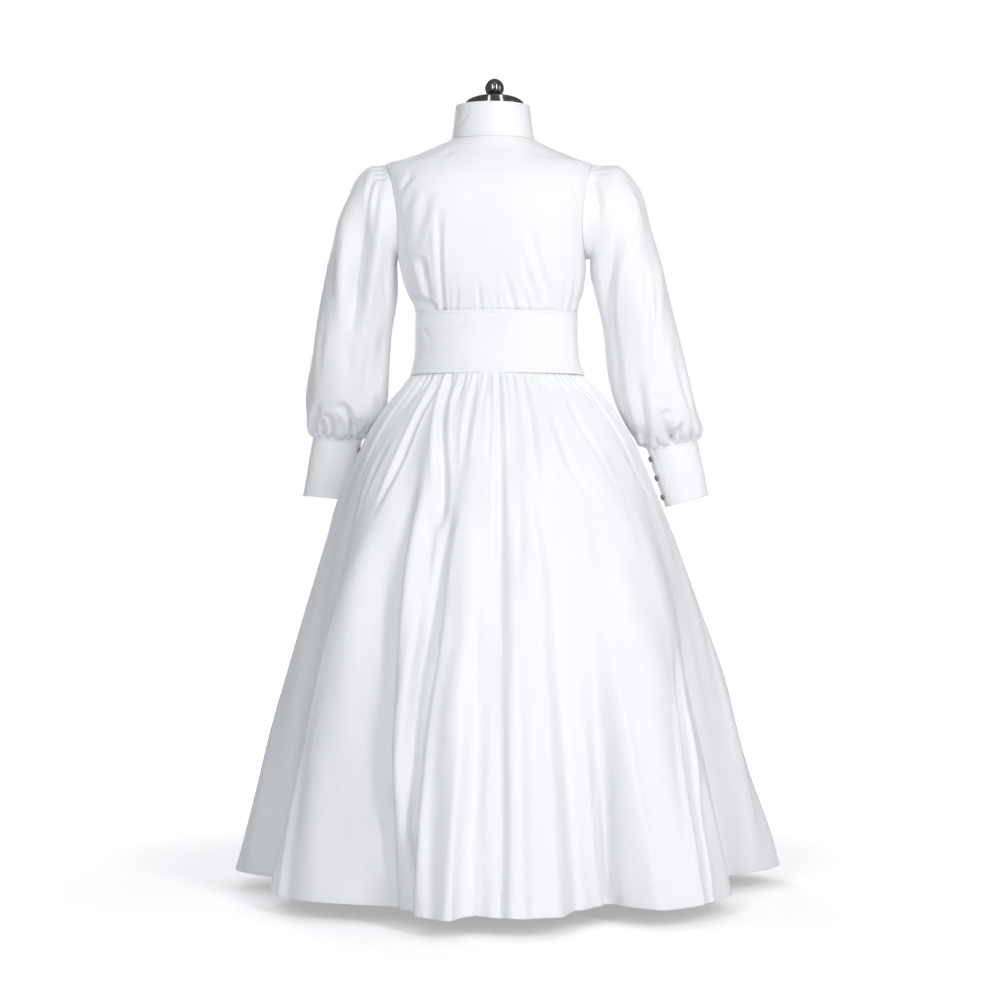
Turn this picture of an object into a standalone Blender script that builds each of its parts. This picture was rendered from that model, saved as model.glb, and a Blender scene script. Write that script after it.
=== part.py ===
"""A white high-collared maid dress with bishop sleeves, on a limbless dress form with a round base.

Units are metres and +Z is up. The origin is on the floor, at the middle of the base's underside.
The garment's back faces -Y, its front faces +Y, and the wearer's right is +X.
"""

import math
from collections import namedtuple

import bmesh
import bpy
import numpy as np
from mathutils import Matrix, Vector

MM = 0.001

# Cloth and fit
CLOTH = 1.5 * MM
STIFFENED_CLOTH = 2.0 * MM
SEAM_GAP = 0.3 * MM
FORM_GAP = 0.4 * MM

# Heights above the floor
HEM_HEIGHT = 30 * MM
WAISTBAND_BOTTOM = 897 * MM
WAISTBAND_TOP = 1006 * MM
NECK_SEAM = 1308.5 * MM
COLLAR_TOP = 1368.5 * MM
FRONT_NECK_DROP = 16 * MM
FRONT_DROP_START = 1200 * MM
NECK_FRONT_REACH = 56 * MM

# Colours
WHITE_CLOTH = (0.9, 0.9, 0.92)
FORM_LINEN = (0.72, 0.66, 0.56)
STEEL = (0.35, 0.34, 0.34)
BRONZE = (0.42, 0.36, 0.3)

FULL_DROP = WAISTBAND_BOTTOM - SEAM_GAP - HEM_HEIGHT

# A level section of the body: its height, the sideways shift of its middle, its half width, how far it
# reaches back and front from the middle, how square it is (2 is an ellipse), and the ease between the
# form and the cloth. All but the squareness are in millimetres.
Section = namedtuple("Section", "height shift half_width back front squareness ease")
BODICE_SECTIONS = (
    Section(1006.0, 1.5, 141.3, 95.0, 101.0, 2.2, 4.5),
    Section(1020.0, 1.0, 144.0, 98.0, 104.0, 2.3, 6.0),
    Section(1045.0, -1.0, 154.0, 104.0, 110.0, 2.4, 11.0),
    Section(1080.0, -4.0, 161.5, 110.0, 118.0, 2.5, 12.0),
    Section(1120.0, -8.0, 165.0, 114.0, 125.0, 2.7, 10.0),
    Section(1160.0, -9.5, 169.0, 116.0, 119.5, 2.9, 8.0),
    Section(1200.0, -10.0, 174.0, 114.0, 105.0, 3.0, 6.0),
    Section(1235.0, -10.5, 180.0, 105.0, 88.0, 2.7, 4.0),
    Section(1255.0, -11.0, 184.0, 95.0, 76.0, 2.3, 1.8),
    Section(1266.0, -11.0, 180.0, 88.0, 69.0, 2.1, 1.0),
    Section(1273.0, -10.0, 160.0, 84.0, 65.0, 2.0, 0.8),
    Section(1283.0, -8.5, 133.0, 77.0, 61.5, 2.0, 0.8),
    Section(1293.0, -7.0, 107.0, 71.0, 59.0, 2.0, 0.8),
    Section(1302.0, -5.0, 86.0, 67.0, 57.0, 2.0, 0.8),
    Section(1308.5, -4.0, 73.0, 64.5, 56.0, 2.0, 0.8),
)
COLLAR_SECTIONS = (
    Section(1308.5, -4.0, 72.2, 64.0, 56.5, 2.0, 0.0),
    Section(1338.0, -4.5, 68.2, 62.0, 55.5, 2.0, 0.0),
    Section(1368.5, -5.0, 65.2, 60.5, 56.5, 2.0, 0.0),
)
WAISTBAND_SECTIONS = (
    Section(897.6, 3.0, 152.5, 111.0, 109.0, 2.1, 0.0),
    Section(925.0, 1.5, 144.5, 101.0, 103.0, 2.2, 0.0),
    Section(955.0, 0.5, 142.0, 96.0, 101.0, 2.2, 0.0),
    Section(985.0, 0.8, 141.5, 95.0, 101.0, 2.2, 0.0),
    Section(1006.0, 1.5, 141.3, 95.0, 101.0, 2.2, 0.0),
)
FORM_BELOW_WAIST = (
    Section(720.0, 0.0, 158.0, 110.0, 100.0, 2.1, 0.0),
    Section(735.0, 0.0, 166.0, 118.0, 106.0, 2.1, 0.0),
    Section(790.0, 0.0, 167.0, 120.0, 106.0, 2.1, 0.0),
    Section(850.0, 0.5, 157.0, 111.0, 103.0, 2.1, 0.0),
    Section(900.0, 1.5, 144.0, 99.0, 100.0, 2.1, 0.0),
    Section(950.0, 1.0, 137.0, 91.0, 96.5, 2.2, 0.0),
)
FORM_NECK = Section(1314.0, -3.5, 61.0, 57.0, 50.0, 2.0, 0.0)

# A soft trough in the cloth, drawn between two points as seen from the back: how far across and how
# high each end is, half its width and its depth, all in millimetres.
Crease = namedtuple("Crease", "across_low height_low across_high height_high half_width depth")
BACK_CREASES = (
    Crease(-95, 1008, -96, 1205, 8, 4.5),
    Crease(-112, 1008, -137, 1098, 8, 5.0),
    Crease(-148, 1105, -116, 1215, 10, 4.0),
    Crease(-160, 1190, -138, 1240, 8, 3.0),
    Crease(-24, 1008, -32, 1072, 7, 3.0),
    Crease(40, 1008, 4, 1092, 7, 3.5),
    Crease(80, 1010, 22, 1140, 8, 3.0),
    Crease(96, 1010, 46, 1192, 9, 5.0),
    Crease(108, 1070, 82, 1165, 8, 3.0),
    Crease(128, 1010, 140, 1100, 7, 4.0),
)
FRONT_CREASES = (
    Crease(-112, 1008, -84, 1095, 8, 4.5),
    Crease(-82, 1008, -66, 1085, 7, 4.0),
    Crease(-50, 1008, -46, 1070, 7, 3.0),
    Crease(-130, 1100, -118, 1190, 9, 3.0),
    Crease(50, 1008, 44, 1075, 7, 3.0),
    Crease(80, 1008, 64, 1090, 8, 4.0),
    Crease(110, 1008, 86, 1080, 7, 4.0),
    Crease(128, 1105, 118, 1185, 9, 3.0),
)

# The armhole, an oval seen from the side
ARMHOLE_HEIGHT = 1184 * MM
ARMHOLE_HALF_HEIGHT = 82 * MM
ARMHOLE_HALF_DEPTH = 62 * MM
ARMHOLE_FORWARD = -2 * MM
ARMHOLE_CLEARANCE = 0.5 * MM
SLEEVE_TUCK = 3 * MM
CUTTER_LENGTH = 200 * MM
CUTTER_OUT = 200 * MM

# A ring of a sleeve: how far out and how high its outer and its inner point are, how far forward its
# middle is, half its depth from back to front, and the height of its gathers. All are in millimetres.
SleeveRing = namedtuple("SleeveRing", "out out_height inner inner_height forward half_depth head cuff")
LEFT_SLEEVE = (
    SleeveRing(214, 1265.0, 173.0, 1100.0, -1, 64, 4.0, 0.0),
    SleeveRing(240, 1242.0, 174.5, 1094.0, 1, 67, 4.5, 0.0),
    SleeveRing(261, 1208.0, 174.5, 1086.0, 4, 69, 3.5, 0.0),
    SleeveRing(277, 1166.0, 174.0, 1074.0, 9, 69, 2.5, 0.0),
    SleeveRing(290, 1112.0, 173.5, 1050.0, 16, 68, 1.5, 0.0),
    SleeveRing(303, 1052.0, 176.5, 1016.0, 26, 67, 1.0, 0.5),
    SleeveRing(316, 985.0, 183.0, 970.0, 39, 67, 0.5, 1.0),
    SleeveRing(327, 920.0, 190.0, 918.0, 53, 67, 0.0, 2.0),
    SleeveRing(337, 860.0, 194.0, 860.0, 68, 66, 0.0, 3.5),
    SleeveRing(339, 824.0, 202.0, 822.0, 80, 60, 0.0, 6.0),
    SleeveRing(332, 800.0, 222.0, 798.0, 88, 44, 0.0, 5.0),
)
LEFT_CUFF = (
    SleeveRing(326, 791.5, 240.0, 789.0, 92, 32.5, 0.0, 0.0),
    SleeveRing(345, 687.5, 272.0, 681.0, 98, 29.5, 0.0, 0.0),
)
RIGHT_SLEEVE = (
    SleeveRing(212, 1263.5, 166.0, 1101.0, -2, 64, 4.0, 0.0),
    SleeveRing(238, 1241.0, 166.0, 1095.0, -1, 67, 4.5, 0.0),
    SleeveRing(257, 1208.0, 166.0, 1088.0, 0, 69, 3.5, 0.0),
    SleeveRing(272, 1160.0, 167.0, 1074.0, 2, 69, 2.5, 0.0),
    SleeveRing(288, 1104.0, 172.5, 1050.0, 5, 68, 1.5, 0.0),
    SleeveRing(304, 1040.0, 181.0, 1016.0, 10, 67, 1.0, 0.5),
    SleeveRing(321, 975.0, 191.0, 970.0, 16, 67, 0.5, 1.0),
    SleeveRing(338, 905.0, 199.0, 912.0, 22, 66, 0.0, 2.0),
    SleeveRing(354, 842.0, 212.0, 850.0, 29, 65, 0.0, 3.5),
    SleeveRing(364, 808.0, 229.0, 812.0, 34, 60, 0.0, 6.0),
    SleeveRing(361, 792.5, 251.0, 784.0, 38, 44, 0.0, 5.0),
)
RIGHT_CUFF = (
    SleeveRing(356, 785.0, 270.0, 770.0, 40, 32.5, 0.0, 0.0),
    SleeveRing(376, 688.5, 303.0, 668.5, 45, 29.5, 0.0, 0.0),
)
SLEEVE_HEAD_GATHERS = 4
SLEEVE_CUFF_GATHERS = 8

# The skirt: its half widths to the left and right, and its reach back and front, at a drop below the
# waistband, in millimetres.
SkirtSection = namedtuple("SkirtSection", "drop left right back front")
SKIRT_SECTIONS = (
    SkirtSection(0, 149.5, 155.5, 111, 109),
    SkirtSection(20, 165, 176, 127, 126),
    SkirtSection(50, 190, 201, 152, 150),
    SkirtSection(110, 228, 238, 194, 190),
    SkirtSection(300, 296, 309, 280, 272),
    SkirtSection(600, 384, 402, 383, 372),
    SkirtSection(867, 456, 478, 456, 448),
)
# A fold line that runs down the skirt, a ridge or a valley: its angle from the centre back, towards the
# wearer's right, under the waistband, halfway and at the hem, and how far it stands out there.
FoldLine = namedtuple("FoldLine", "top middle hem middle_out hem_out")
FOLD_LINES = (
    FoldLine(-94, -94, -96, 4, 10),
    FoldLine(-62, -66, -75, -16, -84),
    FoldLine(-45, -46, -52, 12, -14),
    FoldLine(-33, -32, -25, -16, -60),
    FoldLine(-26, -26, -18.5, 8, 16),
    FoldLine(-21, -19, -15, -10, 22),
    FoldLine(-12, -9, -9, 8, 44),
    FoldLine(-4, -4, -4, 0, -8),
    FoldLine(2, 2, 0.5, -9, 10),
    FoldLine(6, 5, 4, 5, 22),
    FoldLine(13, 12, 11.5, 8, 16),
    FoldLine(18, 17, 18, -9, -20),
    FoldLine(28, 27, 25, 2, -22),
    FoldLine(44, 43, 37, 12, 6),
    FoldLine(52, 53, 50, 4, -2),
    FoldLine(66, 70, 77, -14, -88),
    FoldLine(84, 90, 101, 12, 36),
    FoldLine(110, 112, 122, -8, -34),
    FoldLine(124, 126, 137, 8, 20),
    FoldLine(138, 140, 149, -9, -28),
    FoldLine(150, 152, 161, 8, 16),
    FoldLine(163, 164, 172, -6, -14),
    FoldLine(177, 178, 184, 7, 18),
    FoldLine(190, 190, 195, -8, -22),
    FoldLine(203, 203, 207, 8, 14),
    FoldLine(216, 217, 219, -10, -40),
    FoldLine(233, 232, 232, 9, 18),
    FoldLine(250, 248, 248, -8, -44),
)
FOLDS_START = 0.05
SKIRT_MIDDLE = 0.4
WAIST_RADIUS = 150 * MM
SKIRT_FLARE = 0.36
SKIRT_SEAM_GAP = 0.5 * MM
WAIST_GATHERS = 40
WAIST_GATHER_HEIGHT = 3.2 * MM
WAIST_GATHER_FADE = 95 * MM

# Laps and buttons. The upper end of a lap lies clear of the lower one over a bit more than the lap.
LAP_LIFT = STIFFENED_CLOTH + 0.7 * MM
LAP_RAISED = 1.1
COLLAR_LAP = 22 * MM
WAISTBAND_LAP = 30 * MM
CUFF_LAP = 20 * MM
PLACKET_HALF_WIDTH = 14 * MM
PLACKET_TOP = 1305 * MM
PLACKET_BOTTOM = 1009 * MM
BUTTON_RADIUS = 5.5 * MM
BUTTON_HEIGHT = 3 * MM
BUTTON_GAP = 0.4 * MM
# The dome's outline as shares of the radius and the height
BUTTON_PROFILE = ((0, 1), (0.65, 0.76), (1, 0.2), (0.85, 0), (0, 0))
BUTTON_SIDES = 8
COLLAR_BUTTON_HEIGHTS = (1323 * MM, 1354 * MM)
PLACKET_BUTTON_HEIGHTS = (1040 * MM, 1095 * MM, 1150 * MM, 1205 * MM, 1260 * MM)
WAISTBAND_BUTTON_HEIGHTS = (927 * MM, 956 * MM, 985 * MM)
CUFF_BUTTON_SHARES = (0.17, 0.5, 0.83)
CUFF_BUTTON_ANGLE = math.radians(197)

# The dress form's hardware
CAP_RADIUS = 53 * MM
CAP_THICKNESS = 20 * MM
CAP_ROUNDING = 1.5 * MM
CAP_CENTRE = (-2.2 * MM, 0, 1371 * MM)
CAP_TILT = math.radians(-12.5)
KNOB_RADIUS = 17 * MM
KNOB_STEM_RADIUS = 8 * MM
KNOB_CENTRE = 31 * MM
FORM_NECK_TOP_RADIUS = 50 * MM
FORM_BOTTOM = 720 * MM
FLANGE_RADIUS = 48 * MM
FLANGE_THICKNESS = 6 * MM
POLE_RADIUS = 14 * MM
HUB_RADIUS = 30 * MM
HUB_TOP = 42 * MM
BASE_RADIUS = 190 * MM
BASE_THICKNESS = 14 * MM
BASE_ROUNDING = 3 * MM

# How finely each piece is divided
SKIRT_COLUMNS = 4 * WAIST_GATHERS
SKIRT_DROPS = (0, 14, 36, 72, 130, 240, 400, 620)
# A quarter of the way round the bodice, for turning a gap at a seam into turns
BODICE_QUARTER = 200 * MM
BODICE_HEIGHTS = (1308.2, 1299, 1286, 1268, 1248, 1215, 1180, 1150, 1115, 1078, 1045, 1022, 1006.3)
BODICE_BACK_COLUMNS = 28
BODICE_FRONT_COLUMNS = 12
SEAM_COLUMN = 0.02
PLACKET_COLUMNS = 3
COLLAR_COLUMNS = 32
WAISTBAND_COLUMNS = 42
SLEEVE_COLUMNS = 4 * SLEEVE_CUFF_GATHERS
CUFF_COLUMNS = 26
FORM_COLUMNS = 24
SECTION_SAMPLES = 241
KNOB_RINGS = 7
SMALL_STEP = 0.5 * MM
SMALL_TURN = 0.01


def clear_scene():
    for obj in list(bpy.data.objects):
        bpy.data.objects.remove(obj)


def finish_material(name, colour, roughness, metallic=0.0):
    material = bpy.data.materials.new(name)
    material.use_nodes = True
    shader = material.node_tree.nodes["Principled BSDF"]
    shader.inputs["Base Color"].default_value = (*colour, 1.0)
    shader.inputs["Roughness"].default_value = roughness
    shader.inputs["Metallic"].default_value = metallic
    return material


def smooth_through(knots, values, at):
    """Monotone cubic through a table's rows, so that a surface has no waves of its own."""
    knots, values, at = (np.asarray(x, float) for x in (knots, values, at))
    gaps = np.diff(knots)
    slopes = np.diff(values) / gaps
    tangents = np.concatenate([slopes[:1], np.zeros(len(knots) - 2), slopes[-1:]])
    for i in range(1, len(knots) - 1):
        if slopes[i - 1] * slopes[i] > 0:
            before, after = 2 * gaps[i] + gaps[i - 1], gaps[i] + 2 * gaps[i - 1]
            tangents[i] = (before + after) / (before / slopes[i - 1] + after / slopes[i])
    i = np.clip(np.searchsorted(knots, at) - 1, 0, len(gaps) - 1)
    t = np.clip((at - knots[i]) / gaps[i], 0, 1)
    return (
        values[i] * (1 + 2 * t) * (1 - t) ** 2
        + values[i + 1] * t * t * (3 - 2 * t)
        + gaps[i] * t * (1 - t) * (tangents[i] * (1 - t) - tangents[i + 1] * t)
    )


def in_metres(section):
    """A table's section with its lengths in metres."""
    metres = Section(*(value * MM for value in section))
    return metres._replace(squareness=section.squareness)


def section_at(sections, height):
    """The section of a table at a height in metres, with its lengths in metres."""
    knots = [row.height for row in sections]
    columns = zip(*sections)
    return in_metres(Section(*(float(smooth_through(knots, column, height / MM)) for column in columns)))


def ring(section, turns):
    """Points round a section. A turn is 0 at the centre back, 1 at the right seam, -1 at the left seam
    and 2 at the centre front. Each quarter is shared out by its length."""
    turns = (np.asarray(turns, float) + 2) % 4 - 2
    angle = np.linspace(0, math.pi / 2, SECTION_SAMPLES)
    power = 2 / section.squareness
    points = np.zeros((len(turns), 3))
    for reach, way, here in (
        (section.back, -1, np.abs(turns) <= 1),
        (section.front, 1, np.abs(turns) > 1),
    ):
        across = section.half_width * np.sin(angle) ** power
        deep = reach * np.cos(angle) ** power
        steps = np.hypot(np.diff(across), np.diff(deep))
        along = np.concatenate([[0], np.cumsum(steps)]) / steps.sum()
        share = np.abs(turns[here]) if way < 0 else 2 - np.abs(turns[here])
        points[here, 0] = np.interp(share, along, across) * np.sign(turns[here])
        points[here, 1] = np.interp(share, along, deep) * way
    points[:, 0] += section.shift
    points[:, 2] = section.height
    return points


def quarter_length(section):
    points = ring(section, np.linspace(0, 1, SECTION_SAMPLES))
    return float(np.linalg.norm(np.diff(points, axis=0), axis=1).sum())


def front_dropped(points, share):
    """Lowers the front of a ring near the neck, all of the drop at share 1."""
    front = np.clip(points[:, 1] / NECK_FRONT_REACH, 0, 1)
    points[:, 2] -= FRONT_NECK_DROP * share * front * front * (3 - 2 * front)
    return points


def bodice_surface(height, turns):
    """A row of the bodice's outer face, with no creases."""
    points = ring(section_at(BODICE_SECTIONS, height), turns)
    share = np.clip((height - FRONT_DROP_START) / (NECK_SEAM - FRONT_DROP_START), 0, 1)
    return front_dropped(points, share**2)


def collar_surface(height, turns):
    return front_dropped(ring(section_at(COLLAR_SECTIONS, height), turns), 1)


def waistband_surface(height, turns):
    return ring(section_at(WAISTBAND_SECTIONS, height), turns)


def raised(surface, height, turns, lift):
    """A row of a surface moved out along the surface's own normals, by a length or one for each turn."""
    turns = np.asarray(turns, float)
    here = surface(height, turns)
    down = surface(height - SMALL_STEP, turns) - surface(height + SMALL_STEP, turns)
    round_it = surface(height, turns + SMALL_TURN) - surface(height, turns - SMALL_TURN)
    normals = np.cross(down, round_it)
    normals /= np.linalg.norm(normals, axis=1)[:, None]
    return here + normals * np.reshape(lift, (-1, 1))


def crease_depth(points, creases):
    """How far the creases draw in each point. A crease fades away upwards."""
    depth = np.zeros(len(points))
    for crease in creases:
        low = np.array([crease.across_low, crease.height_low]) * MM
        run = np.array([crease.across_high, crease.height_high]) * MM - low
        offset = points[:, [0, 2]] - low
        along = np.clip(offset @ run / (run @ run), 0, 1)
        aside = np.linalg.norm(offset - along[:, None] * run, axis=1) / (crease.half_width * MM)
        depth += crease.depth * MM * (1 - along**2) * np.exp(-(aside**2))
    return depth


def sheet_object(name, rows, material, collection, wall=0.0, closed=False, capped=False):
    """A surface through rows of points, top row first, with a wall inside it."""
    rows = np.asarray(rows, float)
    count, width = rows.shape[:2]
    columns = width if closed else width - 1
    corners = ((0, 0), (1, 0), (1, 1), (0, 1))
    faces = [
        [(i + down) * width + (j + along) % width for down, along in corners]
        for i in range(count - 1)
        for j in range(columns)
    ]
    if capped:
        faces.append(list(range(width)))
        faces.append([(count - 1) * width + j for j in reversed(range(width))])
    mesh = bpy.data.meshes.new(name)
    mesh.from_pydata(rows.reshape(-1, 3).tolist(), [], faces)
    mesh.materials.append(material)
    mesh.shade_smooth()
    obj = bpy.data.objects.new(name, mesh)
    collection.objects.link(obj)
    if wall:
        solidify = obj.modifiers.new("Wall", "SOLIDIFY")
        solidify.thickness = wall
        solidify.offset = -1
    return obj


def turned_object(name, profile, steps, material, collection):
    """A turned solid. The profile runs down its outer side, from the axis to the axis."""
    mesh = bpy.data.meshes.new(name)
    points = [(radius, 0, height) for radius, height in profile]
    mesh.from_pydata(points, [(i, i + 1) for i in range(len(points) - 1)], [])
    mesh.materials.append(material)
    obj = bpy.data.objects.new(name, mesh)
    collection.objects.link(obj)
    screw = obj.modifiers.new("Turn", "SCREW")
    screw.steps = steps
    screw.render_steps = steps
    screw.use_merge_vertices = True
    screw.merge_threshold = 0.00005
    return obj


def armhole_cutter(side, guides):
    """An oval bar through one armhole."""
    mesh = bpy.data.meshes.new(f"armhole_cutter_{side}")
    solid = bmesh.new()
    bmesh.ops.create_cone(
        solid, cap_ends=True, segments=SLEEVE_COLUMNS, radius1=1, radius2=1, depth=CUTTER_LENGTH
    )
    solid.transform(Matrix.Rotation(math.pi / 2, 4, "Y"))
    solid.transform(Matrix.Diagonal((1, ARMHOLE_HALF_DEPTH, ARMHOLE_HALF_HEIGHT, 1)))
    solid.to_mesh(mesh)
    solid.free()
    cutter = bpy.data.objects.new(mesh.name, mesh)
    cutter.location = (side * CUTTER_OUT, ARMHOLE_FORWARD, ARMHOLE_HEIGHT)
    cutter.hide_render = True
    cutter.display_type = "WIRE"
    guides.objects.link(cutter)
    return cutter


def make_bodice(cloth, collection, cutters):
    """The back and the two fronts, which meet at the shoulders, the sides and the centre front."""
    edge = SEAM_GAP / 2 / BODICE_QUARTER
    panels = (
        ("bodice_back", -1, 1, BODICE_BACK_COLUMNS, BACK_CREASES),
        ("bodice_front_right", 1, 2, BODICE_FRONT_COLUMNS, FRONT_CREASES),
        ("bodice_front_left", -2, -1, BODICE_FRONT_COLUMNS, FRONT_CREASES),
    )
    for name, start, end, columns, creases in panels:
        middle = np.linspace(start + SEAM_COLUMN, end - SEAM_COLUMN, columns - 1)
        turns = [start + edge, *middle, end - edge]
        rows = []
        for height in BODICE_HEIGHTS:
            flat = bodice_surface(height * MM, turns)
            rows.append(raised(bodice_surface, height * MM, turns, -crease_depth(flat, creases)))
        panel = sheet_object(name, rows, cloth, collection, wall=CLOTH)
        for cutter in cutters:
            cut = panel.modifiers.new(cutter.name, "BOOLEAN")
            cut.operation = "DIFFERENCE"
            cut.object = cutter


def make_placket(cloth, collection):
    """The strip down the centre front that carries the buttons, made from the fronts' own face."""
    between = [height * MM for height in BODICE_HEIGHTS[1:-1]]
    rows = []
    for height in (PLACKET_TOP, *between, PLACKET_BOTTOM):
        half = PLACKET_HALF_WIDTH / quarter_length(section_at(BODICE_SECTIONS, height))
        turns = np.linspace(2 - half, 2 + half, PLACKET_COLUMNS + 1)
        rows.append(raised(bodice_surface, height, turns, CLOTH + SEAM_GAP))
    sheet_object("front_placket", rows, cloth, collection, wall=CLOTH)


def lapped(middle, whole_turn, lap, reach, columns):
    """Turns once round a band that laps over itself about one turn, and how far out each one lies.
    The reach is the length along the band of one turn."""
    half = lap / 2 / reach
    turns = np.linspace(middle - half, middle + half + whole_turn, columns + 1)
    from_end = (turns[-1] - turns) * reach
    rise = np.clip(2 - from_end / (LAP_RAISED * lap), 0, 1)
    return turns, LAP_LIFT * rise * rise * (3 - 2 * rise)


def make_collar(cloth, collection):
    reach = quarter_length(section_at(COLLAR_SECTIONS, NECK_SEAM))
    turns, lift = lapped(-2, 4, COLLAR_LAP, reach, COLLAR_COLUMNS)
    heights = np.linspace(COLLAR_TOP, NECK_SEAM + SEAM_GAP, 4)
    rows = [raised(collar_surface, height, turns, lift) for height in heights]
    sheet_object("collar", rows, cloth, collection, wall=STIFFENED_CLOTH)


def make_waistband(cloth, collection):
    reach = quarter_length(section_at(WAISTBAND_SECTIONS, WAISTBAND_TOP))
    turns, lift = lapped(-2, 4, WAISTBAND_LAP, reach, WAISTBAND_COLUMNS)
    rows = [
        raised(waistband_surface, section.height * MM, turns, lift)
        for section in reversed(WAISTBAND_SECTIONS)
    ]
    sheet_object("waistband", rows, cloth, collection, wall=STIFFENED_CLOTH)


def sleeve_ring(row, angles, side):
    """A ring of a sleeve. The angle is 0 at its outer point and a quarter turn at its front."""
    middle = np.array([side * (row.out + row.inner), 2 * row.forward, row.out_height + row.inner_height]) / 2
    half = np.array([side * (row.out - row.inner), 0, row.out_height - row.inner_height]) / 2
    spokes = np.outer(np.cos(angles), half) + np.outer(np.sin(angles), [0, row.half_depth, 0])
    near_top = np.clip(np.cos(angles), 0, 1)
    waves = row.head * near_top * np.cos(angles * 2 * SLEEVE_HEAD_GATHERS)
    waves += row.cuff * np.cos(angles * SLEEVE_CUFF_GATHERS)
    return (middle + spokes + spokes / np.linalg.norm(spokes, axis=1)[:, None] * waves[:, None]) * MM


def armhole_ring(angles, side, out):
    """The sleeve's edge in the armhole, that far out from the bodice's face."""
    forward = ARMHOLE_FORWARD + (ARMHOLE_HALF_DEPTH - ARMHOLE_CLEARANCE) * np.sin(angles)
    height = ARMHOLE_HEIGHT + (ARMHOLE_HALF_HEIGHT - ARMHOLE_CLEARANCE) * np.cos(angles)
    across = []
    for h, f in zip(height, forward):
        section = section_at(BODICE_SECTIONS, h)
        share = 1 - (abs(f) / (section.back if f < 0 else section.front)) ** section.squareness
        across.append(section.shift + side * (section.half_width * share ** (1 / section.squareness) + out))
    return np.stack([across, forward, height], axis=1)


def make_sleeve(name, side, sleeve_rings, cuff_rings, cloth, collection):
    """A sleeve from inside the armhole to the cuff's top edge."""
    angles = np.linspace(0, 2 * math.pi, SLEEVE_COLUMNS, endpoint=False) * side
    top = cuff_rings[0]
    on_cuff = top._replace(
        out_height=top.out_height + SEAM_GAP / MM, inner_height=top.inner_height + SEAM_GAP / MM, cuff=1.0
    )
    rows = [armhole_ring(angles, side, -CLOTH), armhole_ring(angles, side, SLEEVE_TUCK)]
    rows += [sleeve_ring(row, angles, side) for row in (*sleeve_rings, on_cuff)]
    sheet_object(name, rows, cloth, collection, wall=CLOTH, closed=True)


def cuff_surface(cuff_rings, side):
    """A cuff's outer face by height above its bottom edge, as a share of its own height."""

    def surface(share, turns):
        mixed = [low + (high - low) * share for high, low in zip(*cuff_rings)]
        return sleeve_ring(SleeveRing(*mixed), np.asarray(turns) * side, side)

    return surface


def make_cuff(name, side, cuff_rings, cloth, metal, collection):
    """A cuff that laps over itself at its buttons, on the inner side towards the back."""
    surface = cuff_surface(cuff_rings, side)
    opening = side * CUFF_BUTTON_ANGLE
    reach = (cuff_rings[0].half_depth + cuff_rings[1].half_depth) / 2 * MM
    turns, lift = lapped(opening, 2 * math.pi, CUFF_LAP, reach, CUFF_COLUMNS)
    rows = [raised(surface, share, turns, lift) for share in (1, 0.5, 0)]
    sheet_object(f"cuff_{name}", rows, cloth, collection, wall=STIFFENED_CLOTH)
    for index, share in enumerate(CUFF_BUTTON_SHARES):
        place_button(f"cuff_button_{name}_{index + 1}", surface, share, opening, LAP_LIFT, metal, collection)


def fold_out(angles, share):
    """How far the skirt's folds stand out at a share of its drop, for angles in degrees."""
    lines = []
    for line in FOLD_LINES:
        at = smooth_through((0, SKIRT_MIDDLE, 1), (line.top, line.middle, line.hem), share)
        out = smooth_through((0, FOLDS_START, SKIRT_MIDDLE, 1), (0, 0, line.middle_out, line.hem_out), share)
        lines.append((float(at), float(out)))
    lines = [(at - 360, out) for at, out in lines] + lines + [(at + 360, out) for at, out in lines]
    places, outs = np.array(lines).T
    before = np.clip(np.searchsorted(places, angles) - 1, 0, len(places) - 2)
    along = np.clip((angles - places[before]) / (places[before + 1] - places[before]), 0, 1)
    ease = (1 - np.cos(math.pi * along)) / 2
    return (outs[before] + (outs[before + 1] - outs[before]) * ease) * MM


def skirt_row(drop, angles):
    """A level row of the skirt, at a drop below the waistband and at angles in degrees."""
    left, right, back, front = (
        float(smooth_through([row.drop for row in SKIRT_SECTIONS], column, drop / MM)) * MM
        for column in list(zip(*SKIRT_SECTIONS))[1:]
    )
    turn = np.radians(angles)
    across = np.where(np.sin(turn) > 0, right, left) * np.sin(turn)
    deep = np.where(np.cos(turn) > 0, back, front) * -np.cos(turn)
    points = np.stack([across, deep, np.zeros(len(turn))], axis=1)
    away = points / np.linalg.norm(points, axis=1)[:, None]
    gathers = WAIST_GATHER_HEIGHT * np.sin(turn * WAIST_GATHERS) * max(0, 1 - drop / WAIST_GATHER_FADE)
    points += away * (fold_out(angles, drop / FULL_DROP) + gathers)[:, None]
    points[:, 2] = WAISTBAND_BOTTOM - SEAM_GAP - drop
    return points


def make_skirt(cloth, collection):
    """The back and the front of the skirt, which meet at the side seams."""
    for name, start in (("skirt_back", -90), ("skirt_front", 90)):
        rows = []
        for drop in (*[drop * MM for drop in SKIRT_DROPS], FULL_DROP):
            angles = np.linspace(start, start + 180, SKIRT_COLUMNS // 2 + 1)
            half_gap = math.degrees(SKIRT_SEAM_GAP / 2 / (WAIST_RADIUS + drop * SKIRT_FLARE))
            angles[0] += half_gap
            angles[-1] -= half_gap
            rows.append(skirt_row(drop, angles))
        sheet_object(name, rows, cloth, collection, wall=CLOTH)


def place_button(name, surface, height, turn, lift, metal, collection):
    """A domed button with its back on a surface that lies that far out."""
    profile = [(radius * BUTTON_RADIUS, rise * BUTTON_HEIGHT) for radius, rise in BUTTON_PROFILE]
    button = turned_object(name, profile, BUTTON_SIDES, metal, collection)
    gaps = (BUTTON_GAP, 2 * BUTTON_GAP)
    seat, above = (Vector(raised(surface, height, [turn], lift + gap)[0]) for gap in gaps)
    button.rotation_euler = (above - seat).to_track_quat("Z", "Y").to_euler()
    button.location = seat


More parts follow.
